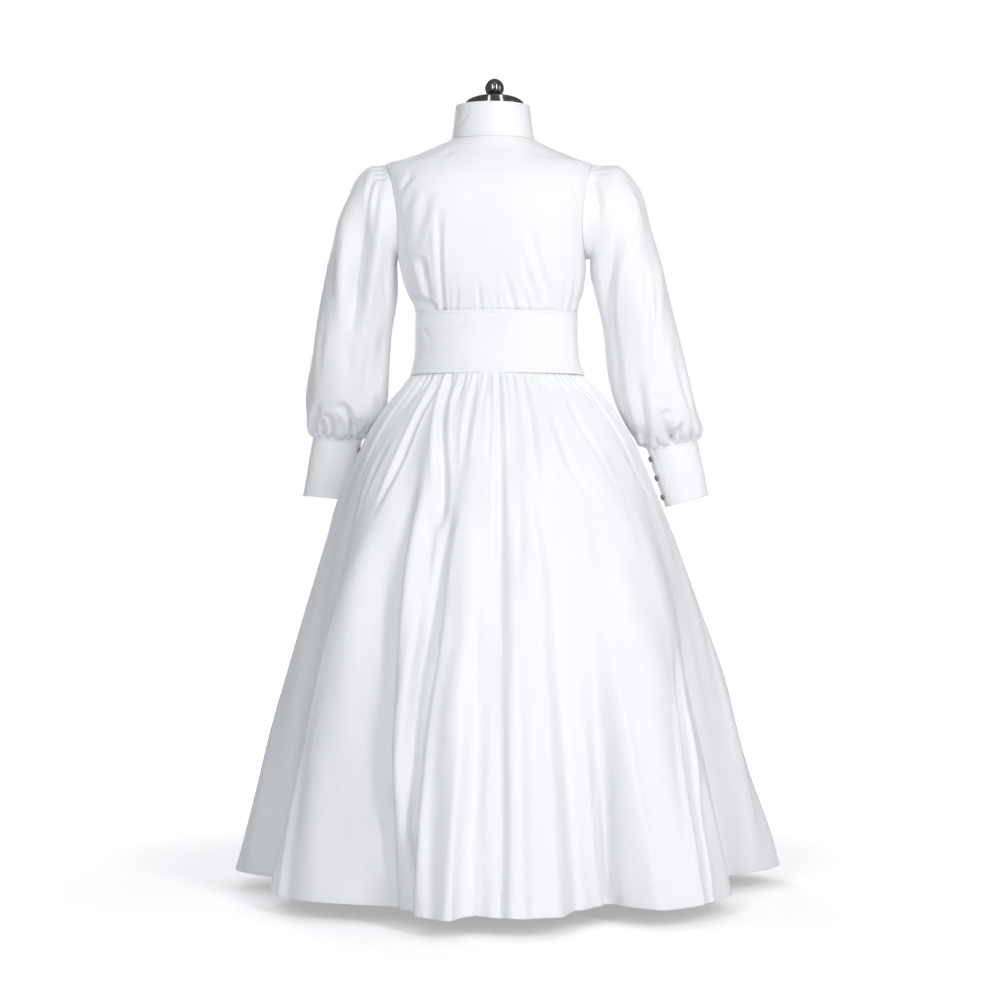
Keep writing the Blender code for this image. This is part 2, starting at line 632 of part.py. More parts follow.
def make_front_buttons(metal, collection):
    rows = (
        ("collar_button", collar_surface, COLLAR_BUTTON_HEIGHTS, LAP_LIFT),
        ("placket_button", bodice_surface, PLACKET_BUTTON_HEIGHTS, CLOTH + SEAM_GAP),
        ("waistband_button", waistband_surface, WAISTBAND_BUTTON_HEIGHTS, LAP_LIFT),
    )
    for name, surface, heights, lift in rows:
        for index, height in enumerate(heights):
            place_button(f"{name}_{index + 1}", surface, height, 2, lift, metal, collection)


def make_torso(linen, collection):
    """The dress form's limbless body, clear of the cloth inside it all over."""
    turns = np.linspace(-2, 2, FORM_COLUMNS, endpoint=False)
    angles = turns * math.pi / 2
    across = CAP_CENTRE[0] + FORM_NECK_TOP_RADIUS * np.sin(angles)
    forward = -FORM_NECK_TOP_RADIUS * np.cos(angles)
    under_cap = CAP_CENTRE[2] - CAP_THICKNESS / math.cos(CAP_TILT) - SEAM_GAP
    neck_top = np.stack([across, forward, under_cap + math.tan(CAP_TILT) * forward], axis=1)
    neck = front_dropped(ring(in_metres(FORM_NECK), turns), 1)
    rows = [neck_top, neck]
    for height in BODICE_HEIGHTS:
        ease = section_at(BODICE_SECTIONS, height * MM).ease
        rows.append(raised(bodice_surface, height * MM, turns, -(CLOTH + FORM_GAP + ease)))
    for section in reversed(FORM_BELOW_WAIST):
        rows.append(ring(in_metres(section), turns))
    sheet_object("form_torso", rows, linen, collection, closed=True, capped=True)


def make_hardware(steel, collection):
    """The neck cap and its knob, and the pole and base that the form stands on."""
    cap_profile = (
        (0, 0),
        (CAP_RADIUS - CAP_ROUNDING, 0),
        (CAP_RADIUS, -CAP_ROUNDING),
        (CAP_RADIUS, CAP_ROUNDING - CAP_THICKNESS),
        (CAP_RADIUS - CAP_ROUNDING, -CAP_THICKNESS),
        (0, -CAP_THICKNESS),
    )
    stem_angle = math.asin(KNOB_STEM_RADIUS / KNOB_RADIUS)
    ball = [
        (KNOB_RADIUS * math.sin(angle), KNOB_CENTRE + KNOB_RADIUS * math.cos(angle))
        for angle in np.linspace(0, math.pi - stem_angle, KNOB_RINGS + 1)
    ]
    knob_profile = (*ball, (KNOB_STEM_RADIUS, SEAM_GAP), (0, SEAM_GAP))
    for name, profile, steps in (("neck_cap", cap_profile, 36), ("neck_knob", knob_profile, 16)):
        piece = turned_object(name, profile, steps, steel, collection)
        piece.location = CAP_CENTRE
        piece.rotation_euler = (CAP_TILT, 0, 0)
    flange_top = FORM_BOTTOM - SEAM_GAP
    pole_profile = (
        (0, flange_top),
        (FLANGE_RADIUS, flange_top),
        (FLANGE_RADIUS, flange_top - FLANGE_THICKNESS),
        (POLE_RADIUS, flange_top - FLANGE_THICKNESS),
        (POLE_RADIUS, HUB_TOP + SEAM_GAP),
        (0, HUB_TOP + SEAM_GAP),
    )
    turned_object("pole", pole_profile, 20, steel, collection)
    base_profile = (
        (0, HUB_TOP),
        (HUB_RADIUS, HUB_TOP),
        (HUB_RADIUS, BASE_THICKNESS),
        (BASE_RADIUS - BASE_ROUNDING, BASE_THICKNESS),
        (BASE_RADIUS, BASE_THICKNESS - BASE_ROUNDING),
        (BASE_RADIUS, 0),
        (0, 0),
    )
    turned_object("base", base_profile, 48, steel, collection)


clear_scene()
dress = bpy.data.collections.new("maid_dress_on_dress_form")
guides = bpy.data.collections.new("cutters")
for collection in (dress, guides):
    bpy.context.scene.collection.children.link(collection)
white = finish_material("white_cloth", WHITE_CLOTH, 0.75)
linen = finish_material("form_linen", FORM_LINEN, 0.85)
steel = finish_material("steel", STEEL, 0.3, 1.0)
bronze = finish_material("button_bronze", BRONZE, 0.4, 1.0)
make_bodice(white, dress, [armhole_cutter(side, guides) for side in (-1, 1)])
make_placket(white, dress)
make_collar(white, dress)
make_waistband(white, dress)
make_skirt(white, dress)
for name, side, sleeve_rings, cuff_rings in (
    ("left", -1, LEFT_SLEEVE, LEFT_CUFF),
    ("right", 1, RIGHT_SLEEVE, RIGHT_CUFF),
):
    make_sleeve(f"sleeve_{name}", side, sleeve_rings, cuff_rings, white, dress)
    make_cuff(name, side, cuff_rings, white, bronze, dress)
make_front_buttons(bronze, dress)
make_torso(linen, dress)
make_hardware(steel, dress)
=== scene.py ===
"""The looks of a white high-collared maid dress, worn on a limbless dress form with a round base.

Metres, +Z up. The dress's back faces -Y, where the camera stands, and the wearer's right is +X.
"""

import math
from collections import namedtuple

import bmesh
import bpy
import numpy as np
from mathutils import Matrix, Vector, noise


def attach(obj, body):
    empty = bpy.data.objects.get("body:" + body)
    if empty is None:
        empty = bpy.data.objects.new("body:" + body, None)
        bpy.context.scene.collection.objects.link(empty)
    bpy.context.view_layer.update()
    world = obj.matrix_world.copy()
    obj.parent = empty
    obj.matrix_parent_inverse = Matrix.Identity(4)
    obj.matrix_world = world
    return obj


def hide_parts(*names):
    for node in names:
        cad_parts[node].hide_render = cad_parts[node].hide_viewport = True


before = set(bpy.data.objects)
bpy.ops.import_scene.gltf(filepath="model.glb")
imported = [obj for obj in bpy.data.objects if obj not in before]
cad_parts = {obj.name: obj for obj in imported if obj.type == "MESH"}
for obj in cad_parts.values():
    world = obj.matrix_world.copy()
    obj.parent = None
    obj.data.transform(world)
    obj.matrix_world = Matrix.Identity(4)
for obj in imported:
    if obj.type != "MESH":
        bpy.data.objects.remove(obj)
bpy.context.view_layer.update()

MM = 0.001

# The photograph's view
# The camera stands level behind the dress, as high as the upper part of its skirt. One of the
# picture's thousand pixels is 1.75 mm at the dress form's axis.
PIXEL = 1.75 * MM
PICTURE_PIXELS = 1000
SENSOR_WIDTH = 36
CAMERA_PLACE = (7.9 * MM, -4170 * MM, 680 * MM)

camera_data = bpy.data.cameras.new("photo_view")
camera_data.sensor_width = SENSOR_WIDTH
camera_data.lens = -SENSOR_WIDTH * CAMERA_PLACE[1] / (PICTURE_PIXELS * PIXEL)
camera = bpy.data.objects.new("photo_view", camera_data)
camera.location = CAMERA_PLACE
camera.rotation_euler = (math.radians(90), 0, 0)
bpy.context.scene.collection.objects.link(camera)
bpy.context.scene.camera = camera

# The studio
# A pale floor that fades into a white room, and soft light: a tall narrow light box at each side of
# the camera, which both show on the neck cap, and broad weak ones near the camera, at the right, above
# and on the far side.
WHITE = (1, 1, 1, 1)
FLOOR_RADIUS = 30
FLOOR_COLOUR = (0.8, 0.8, 0.81)
FLOOR_FADE = {"From Min": 0.55, "From Max": 1.9, "To Min": 0.38, "To Max": 1.0}
ROOM_LIGHT = (0.9, 0.94, 1.0, 1)
ROOM_STRENGTH = 0.255
LIGHT_AIM = (0, 0, 950 * MM)
WARM, COOL, NEUTRAL = (1.0, 0.99, 0.97), (0.98, 0.99, 1.0), (1.0, 1.0, 1.0)


def shader_of(finish):
    return finish.node_tree.nodes["Principled BSDF"]


def start_finish(name, colour, roughness, metallic=0.0, more=()):
    """A material with its plain values set on the shader's own sockets."""
    finish = bpy.data.materials.new(name)
    finish.use_nodes = True
    plain = {"Base Color": (*colour, 1), "Roughness": roughness, "Metallic": metallic, **dict(more)}
    for socket, value in plain.items():
        shader_of(finish).inputs[socket].default_value = value
    return finish


def add_node(owner, kind, values=(), **settings):
    """A node of a material or of the room. A value is a plain one or another node's output."""
    made = owner.node_tree.nodes.new(kind)
    for setting, value in settings.items():
        setattr(made, setting, value)
    for socket, value in dict(values).items():
        if isinstance(value, bpy.types.NodeSocket):
            owner.node_tree.links.new(value, made.inputs[socket])
        else:
            made.inputs[socket].default_value = value
    return made


def join_to(finish, socket, output):
    finish.node_tree.links.new(output, shader_of(finish).inputs[socket])


def light_box(name, place, size, power, colour):
    """A flat soft light that faces the dress."""
    light = bpy.data.lights.new(name, "AREA")
    light.shape = "RECTANGLE"
    light.size, light.size_y = size
    light.energy = power
    light.color = colour
    lamp = bpy.data.objects.new(name, light)
    lamp.location = place
    lamp.rotation_euler = (Vector(LIGHT_AIM) - Vector(place)).to_track_quat("-Z", "Y").to_euler()
    bpy.context.scene.collection.objects.link(lamp)


bpy.ops.object.select_all(action="DESELECT")
bpy.ops.mesh.primitive_circle_add(vertices=96, radius=FLOOR_RADIUS, fill_type="NGON")
floor = bpy.context.object
floor.name = "studio_floor"
floor_finish = start_finish("studio_floor", FLOOR_COLOUR, 0.9, more={"Emission Color": WHITE})
floor_places = add_node(floor_finish, "ShaderNodeTexCoord").outputs["Object"]
away = add_node(floor_finish, "ShaderNodeVectorMath", {0: floor_places}, operation="LENGTH")
fade_values = {"Value": away.outputs["Value"], **FLOOR_FADE}
fade = add_node(floor_finish, "ShaderNodeMapRange", fade_values, interpolation_type="SMOOTHSTEP")
seen = add_node(floor_finish, "ShaderNodeLightPath").outputs["Is Camera Ray"]
glow_values = {0: fade.outputs["Result"], 1: seen}
glow = add_node(floor_finish, "ShaderNodeMath", glow_values, operation="MULTIPLY")
join_to(floor_finish, "Emission Strength", glow.outputs[0])
floor.data.materials.append(floor_finish)

room = bpy.data.worlds.new("white_room")
bpy.context.scene.world = room
room.use_nodes = True
seen_room = room.node_tree.nodes["Background"]
seen_room.inputs["Color"].default_value = WHITE
seen_room.inputs["Strength"].default_value = 1.0
lighting_room = add_node(room, "ShaderNodeBackground", {"Color": ROOM_LIGHT, "Strength": ROOM_STRENGTH})
ray = add_node(room, "ShaderNodeLightPath").outputs["Is Camera Ray"]
room_values = {0: ray, 1: lighting_room.outputs[0], 2: seen_room.outputs[0]}
room_mix = add_node(room, "ShaderNodeMixShader", room_values)
room.node_tree.links.new(room_mix.outputs[0], room.node_tree.nodes["World Output"].inputs["Surface"])

light_box("key_light", (1.8, -3.0, 2.35), (0.3, 3.6), 59, WARM)
light_box("left_light", (-1.3, -3.2, 2.3), (0.22, 3.6), 35, COOL)
light_box("camera_fill", (-0.3, -4.3, 2.2), (2.0, 2.2), 20, COOL)
light_box("right_fill", (3.1, -0.9, 1.7), (1.2, 2.2), 16, WARM)
light_box("top_light", (0.5, -0.9, 3.2), (1.6, 1.6), 2, NEUTRAL)
light_box("far_light", (-1.2, 3.6, 2.2), (1.8, 2.2), 60, NEUTRAL)
bpy.context.scene.view_settings.view_transform = "Standard"

# The stand
# A cast iron disc and a steel pole, both in satin black paint. The pole screws into the disc's hub
# and carries the dress form on a flange.


def object_places(finish):
    return add_node(finish, "ShaderNodeTexCoord").outputs["Object"]


def grain(finish, places, scale, detail):
    """Uneven grain, as a grey value for each place."""
    values = {"Vector": places, "Scale": scale, "Detail": detail}
    return add_node(finish, "ShaderNodeTexNoise", values).outputs["Fac"]


def add_relief(finish, grey, strength, distance):
    """Small relief from a grey value, over the relief that the finish has already."""
    values = {"Height": grey, "Strength": strength, "Distance": distance}
    for link in shader_of(finish).inputs["Normal"].links:
        values["Normal"] = link.from_socket
    join_to(finish, "Normal", add_node(finish, "ShaderNodeBump", values).outputs["Normal"])


def vary_roughness(finish, grey, low, high):
    """Roughness that follows a grey value from one value to another."""
    varied = add_node(finish, "ShaderNodeMapRange", {"Value": grey, "To Min": low, "To Max": high})
    join_to(finish, "Roughness", varied.outputs["Result"])


black_paint = start_finish("satin_black_paint", (0.02, 0.02, 0.021), 0.42)
paint_places = object_places(black_paint)
add_relief(black_paint, grain(black_paint, paint_places, 420, 2), 0.35, 0.2 * MM)
vary_roughness(black_paint, grain(black_paint, paint_places, 14, 4), 0.34, 0.52)
for stand_part in ("base", "pole"):
    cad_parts[stand_part].material_slots[0].material = black_paint

# The dress form
# A padded, limbless body under a plain linen cover. The cover is stretched smooth over the padding,
# so the body keeps no folds, and it closes under the neck cap.


def vary_colour(finish, grey, dark, light):
    """Colour that follows a grey value from one tone to another."""
    values = {"Factor": grey, 6: (*dark, 1), 7: (*light, 1)}
    tones = add_node(finish, "ShaderNodeMix", values, data_type="RGBA")
    join_to(finish, "Base Color", tones.outputs[2])


def crossed_threads(finish, places, scale, ways, unevenness=0.0):
    """The threads of a plain weave, as a grey value for each place."""
    values = {"Vector": places, "Scale": scale, "Distortion": unevenness}
    warp, weft = (
        add_node(finish, "ShaderNodeTexWave", values, bands_direction=way).outputs["Fac"] for way in ways
    )
    return add_node(finish, "ShaderNodeMath", {0: warp, 1: weft}, operation="MULTIPLY").outputs[0]


linen = start_finish("form_linen", (0.66, 0.58, 0.46), 0.85, more={"Sheen Weight": 0.2})
linen_places = object_places(linen)
vary_colour(linen, grain(linen, linen_places, 60, 6), (0.6, 0.52, 0.41), (0.73, 0.66, 0.54))
add_relief(linen, crossed_threads(linen, linen_places, 420, "XZ", 0.6), 0.5, 0.3 * MM)


def choose(piece):
    """Makes a piece the only one that Blender's tools act on."""
    bpy.ops.object.select_all(action="DESELECT")
    piece.select_set(True)
    bpy.context.view_layer.objects.active = piece


def apply_modifiers(piece):
    choose(piece)
    for modifier in list(piece.modifiers):
        bpy.ops.object.modifier_apply(modifier=modifier.name)


def finish_piece(piece, replaced, material):
    """Gives the piece its material, hangs it on the root body and hides the solid that it stands for, if it
    has one.
    """
    piece.data.materials.clear()
    piece.data.materials.append(material)
    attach(piece, "root")
    if replaced:
        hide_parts(replaced)


COVER_WELD = 0.01 * MM

form_body = bpy.data.objects.new("form_body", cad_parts["form_torso"].data.copy())
bpy.context.scene.collection.objects.link(form_body)
choose(form_body)
bpy.ops.object.mode_set(mode="EDIT")
bpy.ops.mesh.select_all(action="SELECT")
bpy.ops.mesh.remove_doubles(threshold=COVER_WELD)
bpy.ops.mesh.tris_convert_to_quads()
bpy.ops.mesh.select_all(action="DESELECT")
bpy.ops.mesh.edges_select_sharp(sharpness=math.radians(50))
bpy.ops.transform.edge_crease(value=0.9)
bpy.ops.object.mode_set(mode="OBJECT")
rounding = form_body.modifiers.new("rounding", "SUBSURF")
rounding.levels = rounding.render_levels = 2
apply_modifiers(form_body)
form_body.data.shade_smooth()
finish_piece(form_body, "form_torso", linen)

# The neck cap and its knob
# A turned disc of dark polished steel that closes the form's neck, tilted down towards the front,
# and a ball knob on a short stem by which the form is lifted.
CAP_CENTRE = Vector((-2.2, 0, 1371)) * MM
CAP_TILT = math.radians(-12.5)
CAP_RADIUS = 53 * MM
CAP_THICKNESS = 20 * MM
CAP_EDGE = 1.6 * MM
CAP_STEP_IN = 9 * MM
CAP_STEP_UP = 1.2 * MM
KNOB_RADIUS = 17 * MM
KNOB_HEIGHT = 31 * MM
STEM_RADIUS = 7.6 * MM
STEM_FOOT_RADIUS = 11 * MM
STEM_FOOT_HEIGHT = 3 * MM
KNOB_GAP = 0.4 * MM

polished = start_finish("cap_steel", (0.2, 0.19, 0.185), 0.16, 1.0)
polished_places = object_places(polished)
turned_values = {"Vector": polished_places, "Rotation": (-CAP_TILT, 0, 0), "Scale": (6, 6, 900)}
turned_places = add_node(polished, "ShaderNodeMapping", turned_values).outputs[0]
vary_roughness(polished, grain(polished, turned_places, 1.5, 3), 0.07, 0.17)
vary_colour(polished, grain(polished, polished_places, 45, 4), (0.13, 0.125, 0.125), (0.3, 0.285, 0.27))


def edit_faces(piece, picked):
    """Opens a piece for editing with only the faces selected that a test picks."""
    bpy.ops.object.mode_set(mode="EDIT")
    bpy.ops.mesh.select_all(action="DESELECT")
    bpy.ops.object.mode_set(mode="OBJECT")
    for face in piece.data.polygons:
        face.select = picked(face)
    bpy.ops.object.mode_set(mode="EDIT")


def cut_ball(radius, segments, ring_count, level):
    """A ball, cut flat at a level and closed there by one face, all of it selected for editing."""
    bpy.ops.object.select_all(action="DESELECT")
    bpy.ops.mesh.primitive_uv_sphere_add(segments=segments, ring_count=ring_count, radius=radius)
    bpy.ops.object.mode_set(mode="EDIT")
    bpy.ops.mesh.select_all(action="SELECT")
    bpy.ops.mesh.bisect(plane_co=(0, 0, level), plane_no=(0, 0, 1), use_fill=True, clear_inner=True)
    bpy.ops.mesh.select_all(action="SELECT")
    return bpy.context.object


def is_cut_face(face):
    return len(face.vertices) > 4


def extrude_up(rise):
    bpy.ops.mesh.extrude_region_move(TRANSFORM_OT_translate={"value": (0, 0, rise)})


def close_editing():
    """Turns every face outwards and leaves edit mode."""
    bpy.ops.mesh.select_all(action="SELECT")
    bpy.ops.mesh.normals_make_consistent(inside=False)
    bpy.ops.object.mode_set(mode="OBJECT")


bpy.ops.object.select_all(action="DESELECT")
bpy.ops.mesh.primitive_cylinder_add(
    vertices=96, radius=CAP_RADIUS, depth=CAP_THICKNESS, location=(0, 0, -CAP_THICKNESS / 2)
)
cap = bpy.context.object
cap.name = "neck_cap_turned"
edit_faces(cap, lambda face: face.normal.z > 0.9)
bpy.ops.mesh.inset(thickness=CAP_STEP_IN)
bpy.ops.transform.translate(value=(0, 0, CAP_STEP_UP))
bpy.ops.mesh.select_all(action="DESELECT")
bpy.ops.mesh.edges_select_sharp(sharpness=math.radians(60))
bpy.ops.mesh.bevel(offset=CAP_EDGE, segments=4)
bpy.ops.object.mode_set(mode="OBJECT")

knob_cut = math.sqrt(KNOB_RADIUS**2 - STEM_RADIUS**2)
knob = cut_ball(KNOB_RADIUS, 64, 40, -knob_cut)
knob.name = "neck_knob_turned"
bpy.ops.transform.translate(value=(0, 0, KNOB_HEIGHT))
edit_faces(knob, is_cut_face)
extrude_up(KNOB_GAP + STEM_FOOT_HEIGHT - KNOB_HEIGHT + knob_cut)
extrude_up(0)
foot_share = STEM_FOOT_RADIUS / STEM_RADIUS
bpy.ops.transform.resize(value=(foot_share, foot_share, 1))
extrude_up(-STEM_FOOT_HEIGHT)
close_editing()
for piece, node in ((cap, "neck_cap"), (knob, "neck_knob")):
    place = Matrix.Translation(CAP_CENTRE) @ Matrix.Rotation(CAP_TILT, 4, "X")
    piece.data.transform(place @ piece.matrix_world)
    piece.matrix_world = Matrix()
    choose(piece)
    bpy.ops.object.shade_smooth_by_angle(angle=math.radians(40))
    finish_piece(piece, node, polished)

# The bodice
# A back and two fronts of white cotton blend with a slight sheen, seamed at the shoulders and sides.
# Each is gathered into the waistband and blouses out over it, so soft folds run up from the waist.
CLOTH = 0.9 * MM
BODICE_TOP = 1308.5 * MM
WAIST_SEAM = 1006 * MM
TUCK = 3.5 * MM
TUCK_IN = 1.8 * MM
FRONT_NECK_DROP = 16 * MM
FRONT_DROP_START = 1200 * MM
NECK_FRONT_REACH = 56 * MM
SMALL_STEP = 0.5 * MM
SMALL_TURN = 0.01
BODICE_ROW = 2.4 * MM
RING_SAMPLES = 400
HEIGHT_SAMPLES, TURN_SAMPLES = 300, 17
BACK_COLUMNS = 170
FRONT_COLUMNS = 84
SEAM_EDGE = 0.0006
GATHER_WIDTH = 2.0 * MM
GATHER_SPREAD = 0.075
# A crease's trough: its share of the width at the low end, how much it widens, how steep its sides are
TROUGH_START, TROUGH_WIDENING = 0.65, 0.5
TROUGH_POWER = 1.7
# The soft roll at each side of the trough, in shares of the crease's depth and half width
ROLL_HEIGHT, ROLL_PLACE, ROLL_SPREAD = 0.3, 1.9, 0.7
# A gather's share of its depth at the seam, how far from there it is full, how steep its sides are
GATHER_AT_SEAM = 0.45
GATHER_FULL = 6 * MM
GATHER_POWER = 1.5

# Small uneven waves of cloth: how far apart across and down, and how high, in millimetres
Waves = namedtuple("Waves", "across down height")
BODICE_WAVES = Waves(55, 120, 1.6)
BODICE_SEED = 3.1
BODICE_WAVES_FULL = 40 * MM
BODICE_RELIEF = (-7 * MM, 5 * MM)
BODICE_GATHER_RADIUS = 120 * MM
BODICE_GAP = 0.3 * MM
TUCK_ROUNDING = 3 * MM
SEAM_GROOVE = 0.5 * MM
SEAM_GROOVE_WIDTH = 2.2 * MM
QUARTER_ROUND = 200 * MM
PLACKET_CALM_TURN = 0.12


def table_of(kind, *rows):
    """A table whose rows have named columns."""
    return [kind(*row) for row in rows]


# A level section of the body: height, sideways shift, half width, reach back and front, squareness
Section = namedtuple("Section", "height shift half_width back front squareness")
BODICE_SECTIONS = table_of(
    Section,
    (1006, 1.5, 141.3, 95, 101, 2.2),
    (1020, 1, 144, 98, 104, 2.3),
    (1045, -1, 154, 104, 110, 2.4),
    (1080, -4, 161.5, 110, 118, 2.5),
    (1120, -8, 165, 114, 125, 2.7),
    (1160, -9.5, 169, 116, 119.5, 2.9),
    (1200, -10, 174, 114, 105, 3),
    (1235, -10.5, 180, 105, 88, 2.7),
    (1255, -11, 184, 95, 76, 2.3),
    (1266, -11, 180, 88, 69, 2.1),
    (1273, -10, 160, 84, 65, 2),
    (1283, -8.5, 133, 77, 61.5, 2),
    (1293, -7, 107, 71, 59, 2),
    (1302, -5, 86, 67, 57, 2),
    (1308.5, -4, 73, 64.5, 56, 2),
)
# A fold in the cloth, seen from the back: three points along it from its low end to its high end, how
# far across and how high, half its width, its depth, and the shares of it that fade at each end
Crease = namedtuple("Crease", "low_x low_z mid_x mid_z high_x high_z half_width depth low_fade high_fade")
BACK_CREASES = table_of(
    Crease,
    (-89, 1004, -96, 1110, -92, 1195, 5.5, 5.5, 0, 0.5),
    (-143, 1100, -122, 1172, -110, 1216, 9, 4, 0.5, 0.6),
    (-159, 1166, -146, 1196, -132, 1222, 7.5, 2.6, 0.4, 0.7),
    (-163, 1206, -151, 1229, -136, 1250, 6, 2.8, 0.3, 0.5),
    (-110, 1012, -122, 1064, -131, 1102, 6.5, 5.5, 0.3, 0.3),
    (-98, 1006, -120, 1019, -143, 1026, 6.5, 5.5, 0.2, 0.3),
    (-25, 1004, -28, 1037, -31, 1066, 5, 2.4, 0, 0.7),
    (35, 1004, 21, 1047, 8, 1088, 6.5, 2.4, 0, 0.7),
    (76, 1004, 56, 1060, 40, 1112, 7, 1.6, 0.2, 0.7),
    (97, 1010, 71, 1095, 44, 1186, 8, 3.6, 0.3, 0.7),
    (107, 1060, 97, 1120, 88, 1160, 6, 1.6, 0.5, 0.6),
    (151, 1150, 139, 1204, 118, 1240, 4, 2.2, 0.5, 0.5),
    (146, 1142, 131, 1196, 110, 1228, 3.5, 1.6, 0.5, 0.5),
    (129, 1004, 139, 1061, 138, 1112, 4.5, 3.2, 0, 0.7),
    (116, 1004, 121, 1045, 119, 1085, 4, 2.2, 0, 0.7),
    (-68, 1004, -66, 1035, -66, 1062, 4.5, 1.8, 0, 0.7),
    (4, 1004, 0, 1030, -5, 1052, 4, 1.6, 0, 0.8),
    (58, 1004, 50, 1036, 40, 1062, 4.5, 1.8, 0, 0.8),
    (-70, 1286, -84, 1276, -104, 1268, 7, 1.8, 0.4, 0.6),
    (56, 1290, 76, 1278, 100, 1268, 7, 1.6, 0.4, 0.6),
)
FRONT_CREASES = table_of(
    Crease,
    (-112, 1004, -100, 1050, -84, 1098, 6, 5, 0, 0.7),
    (-84, 1004, -76, 1044, -66, 1088, 5.5, 4.4, 0, 0.7),
    (-52, 1004, -50, 1038, -46, 1072, 5, 3.4, 0, 0.7),
    (-34, 1004, -33, 1026, -32, 1046, 4, 2.2, 0, 0.8),
    (-134, 1090, -127, 1150, -116, 1196, 6, 3.4, 0.5, 0.6),
    (-150, 1150, -140, 1196, -124, 1232, 4.5, 2.6, 0.4, 0.6),
    (-98, 1120, -90, 1160, -76, 1206, 6, 1.8, 0.5, 0.6),
    (50, 1004, 48, 1040, 44, 1078, 5, 3.4, 0, 0.7),
    (34, 1004, 33, 1024, 30, 1042, 4, 2, 0, 0.8),
    (80, 1004, 74, 1048, 64, 1092, 5.5, 4.4, 0, 0.7),
    (110, 1004, 102, 1044, 86, 1084, 6, 4.6, 0, 0.7),
    (128, 1096, 124, 1148, 116, 1192, 6, 3.2, 0.5, 0.6),
    (142, 1150, 136, 1198, 122, 1236, 4.5, 2.4, 0.4, 0.6),
    (96, 1112, 88, 1156, 72, 1200, 6, 1.8, 0.5, 0.6),
)
# A small gather at a seam: its place, in degrees round from the centre back, its depth and its length
Gather = namedtuple("Gather", "at depth length")
BACK_WAIST_GATHERS = table_of(
    Gather,
    (-84, 2, 26), (-76, 1.4, 16), (-68, 1.8, 22), (-54, 1.2, 20),
    (-46, 1.6, 14), (-21, 1, 14), (-14, 1.2, 18), (-3, 0.8, 12),
    (14, 0.8, 12), (33, 0.9, 14), (45, 1, 18), (54, 1.4, 20),
    (62, 1.8, 16), (69, 2, 24), (77, 1.6, 16), (85, 2, 24),
)
FRONT_WAIST_GATHERS = table_of(
    Gather,
    (98, 2, 22), (106, 1.6, 28), (113, 2, 18), (124, 1.4, 26),
    (131, 1.8, 20), (142, 1.2, 16), (149, 1.6, 24), (158, 1.2, 18),
    (202, 1.3, 20), (211, 1.6, 26), (217, 1.2, 16), (229, 1.8, 22),
    (236, 1.4, 28), (246, 2, 20), (254, 1.6, 24), (262, 2, 18),
)


def smooth_through(knots, values, at):
    """Monotone cubic through a table's rows, so that a surface has no waves of its own."""
    knots, values = np.asarray(knots, float), np.asarray(values, float)
    at = np.atleast_1d(np.asarray(at, float))
    shape = (-1,) + (1,) * (values.ndim - 1)
    gaps = np.diff(knots).reshape(shape)
    slopes = np.diff(values, axis=0) / gaps
    tangents = np.concatenate([slopes[:1], np.zeros_like(slopes[1:]), slopes[-1:]])
    earlier, later = slopes[:-1], slopes[1:]
    before, after = 2 * gaps[1:] + gaps[:-1], gaps[1:] + 2 * gaps[:-1]
    same_way = earlier * later > 0
    safe_earlier, safe_later = np.where(same_way, earlier, 1), np.where(same_way, later, 1)
    tangents[1:-1] = np.where(same_way, (before + after) / (before / safe_earlier + after / safe_later), 0)
    i = np.clip(np.searchsorted(knots, at) - 1, 0, len(knots) - 2)
    t = np.clip((at - knots[i]) / np.diff(knots)[i], 0, 1).reshape(shape)
    return (
        values[i] * (1 + 2 * t) * (1 - t) ** 2
        + values[i + 1] * t * t * (3 - 2 * t)
        + gaps[i] * t * (1 - t) * (tangents[i] * (1 - t) - tangents[i + 1] * t)
    )


def section_at(sections, height):
    """The section of a table at a height in metres, with its lengths in metres."""
    table = np.array(sections)
    values = smooth_through(table[:, 0], table, height / MM)[0] * MM
    return Section(*values[:-1], values[-1] / MM)


def ring(section, turns):
    """Points round a section. A turn is 0 at the centre back, 1 at the right seam, -1 at the left seam
    and 2 at the centre front. Each quarter is shared out by its length."""
    turns = (np.asarray(turns, float) + 2) % 4 - 2
    angle = np.linspace(0, math.pi / 2, RING_SAMPLES)
    power = 2 / section.squareness
    points = np.zeros((len(turns), 3))
    for reach, way, here in (
        (section.back, -1, np.abs(turns) <= 1),
        (section.front, 1, np.abs(turns) > 1),
    ):
        across = section.half_width * np.sin(angle) ** power
        deep = reach * np.cos(angle) ** power
        steps = np.hypot(np.diff(across), np.diff(deep))
        along = np.concatenate([[0], np.cumsum(steps)]) / steps.sum()
        share = np.abs(turns[here]) if way < 0 else 2 - np.abs(turns[here])
        points[here, 0] = np.interp(share, along, across) * np.sign(turns[here])
        points[here, 1] = np.interp(share, along, deep) * way
    points[:, 0] += section.shift
    points[:, 2] = section.height
    return points


def front_dropped(points, share):
    """Lowers the front of a ring near the neck, all of the drop at share 1."""
    front = np.clip(points[:, 1] / NECK_FRONT_REACH, 0, 1)
    points[:, 2] -= FRONT_NECK_DROP * share * front * front * (3 - 2 * front)
    return points


def bodice_surface(height, turns):
    """A row of the bodice's outer face, with no folds."""
    points = ring(section_at(BODICE_SECTIONS, height), turns)
    share = np.clip((height - FRONT_DROP_START) / (BODICE_TOP - FRONT_DROP_START), 0, 1)
    return front_dropped(points, share**2)


def raised(surface, height, turns, lift):
    """A row of a surface moved out along the surface's own normals, by a length or one for each turn."""
    turns = np.asarray(turns, float)
    here = surface(height, turns)
    down = surface(height - SMALL_STEP, turns) - surface(height + SMALL_STEP, turns)
    round_it = surface(height, turns + SMALL_TURN) - surface(height, turns - SMALL_TURN)
    normals = np.cross(down, round_it)
    normals /= np.linalg.norm(normals, axis=1)[:, None]
    return here + normals * np.reshape(lift, (-1, 1))


def eased(share):
    share = np.clip(share, 0, 1)
    return share * share * (3 - 2 * share)


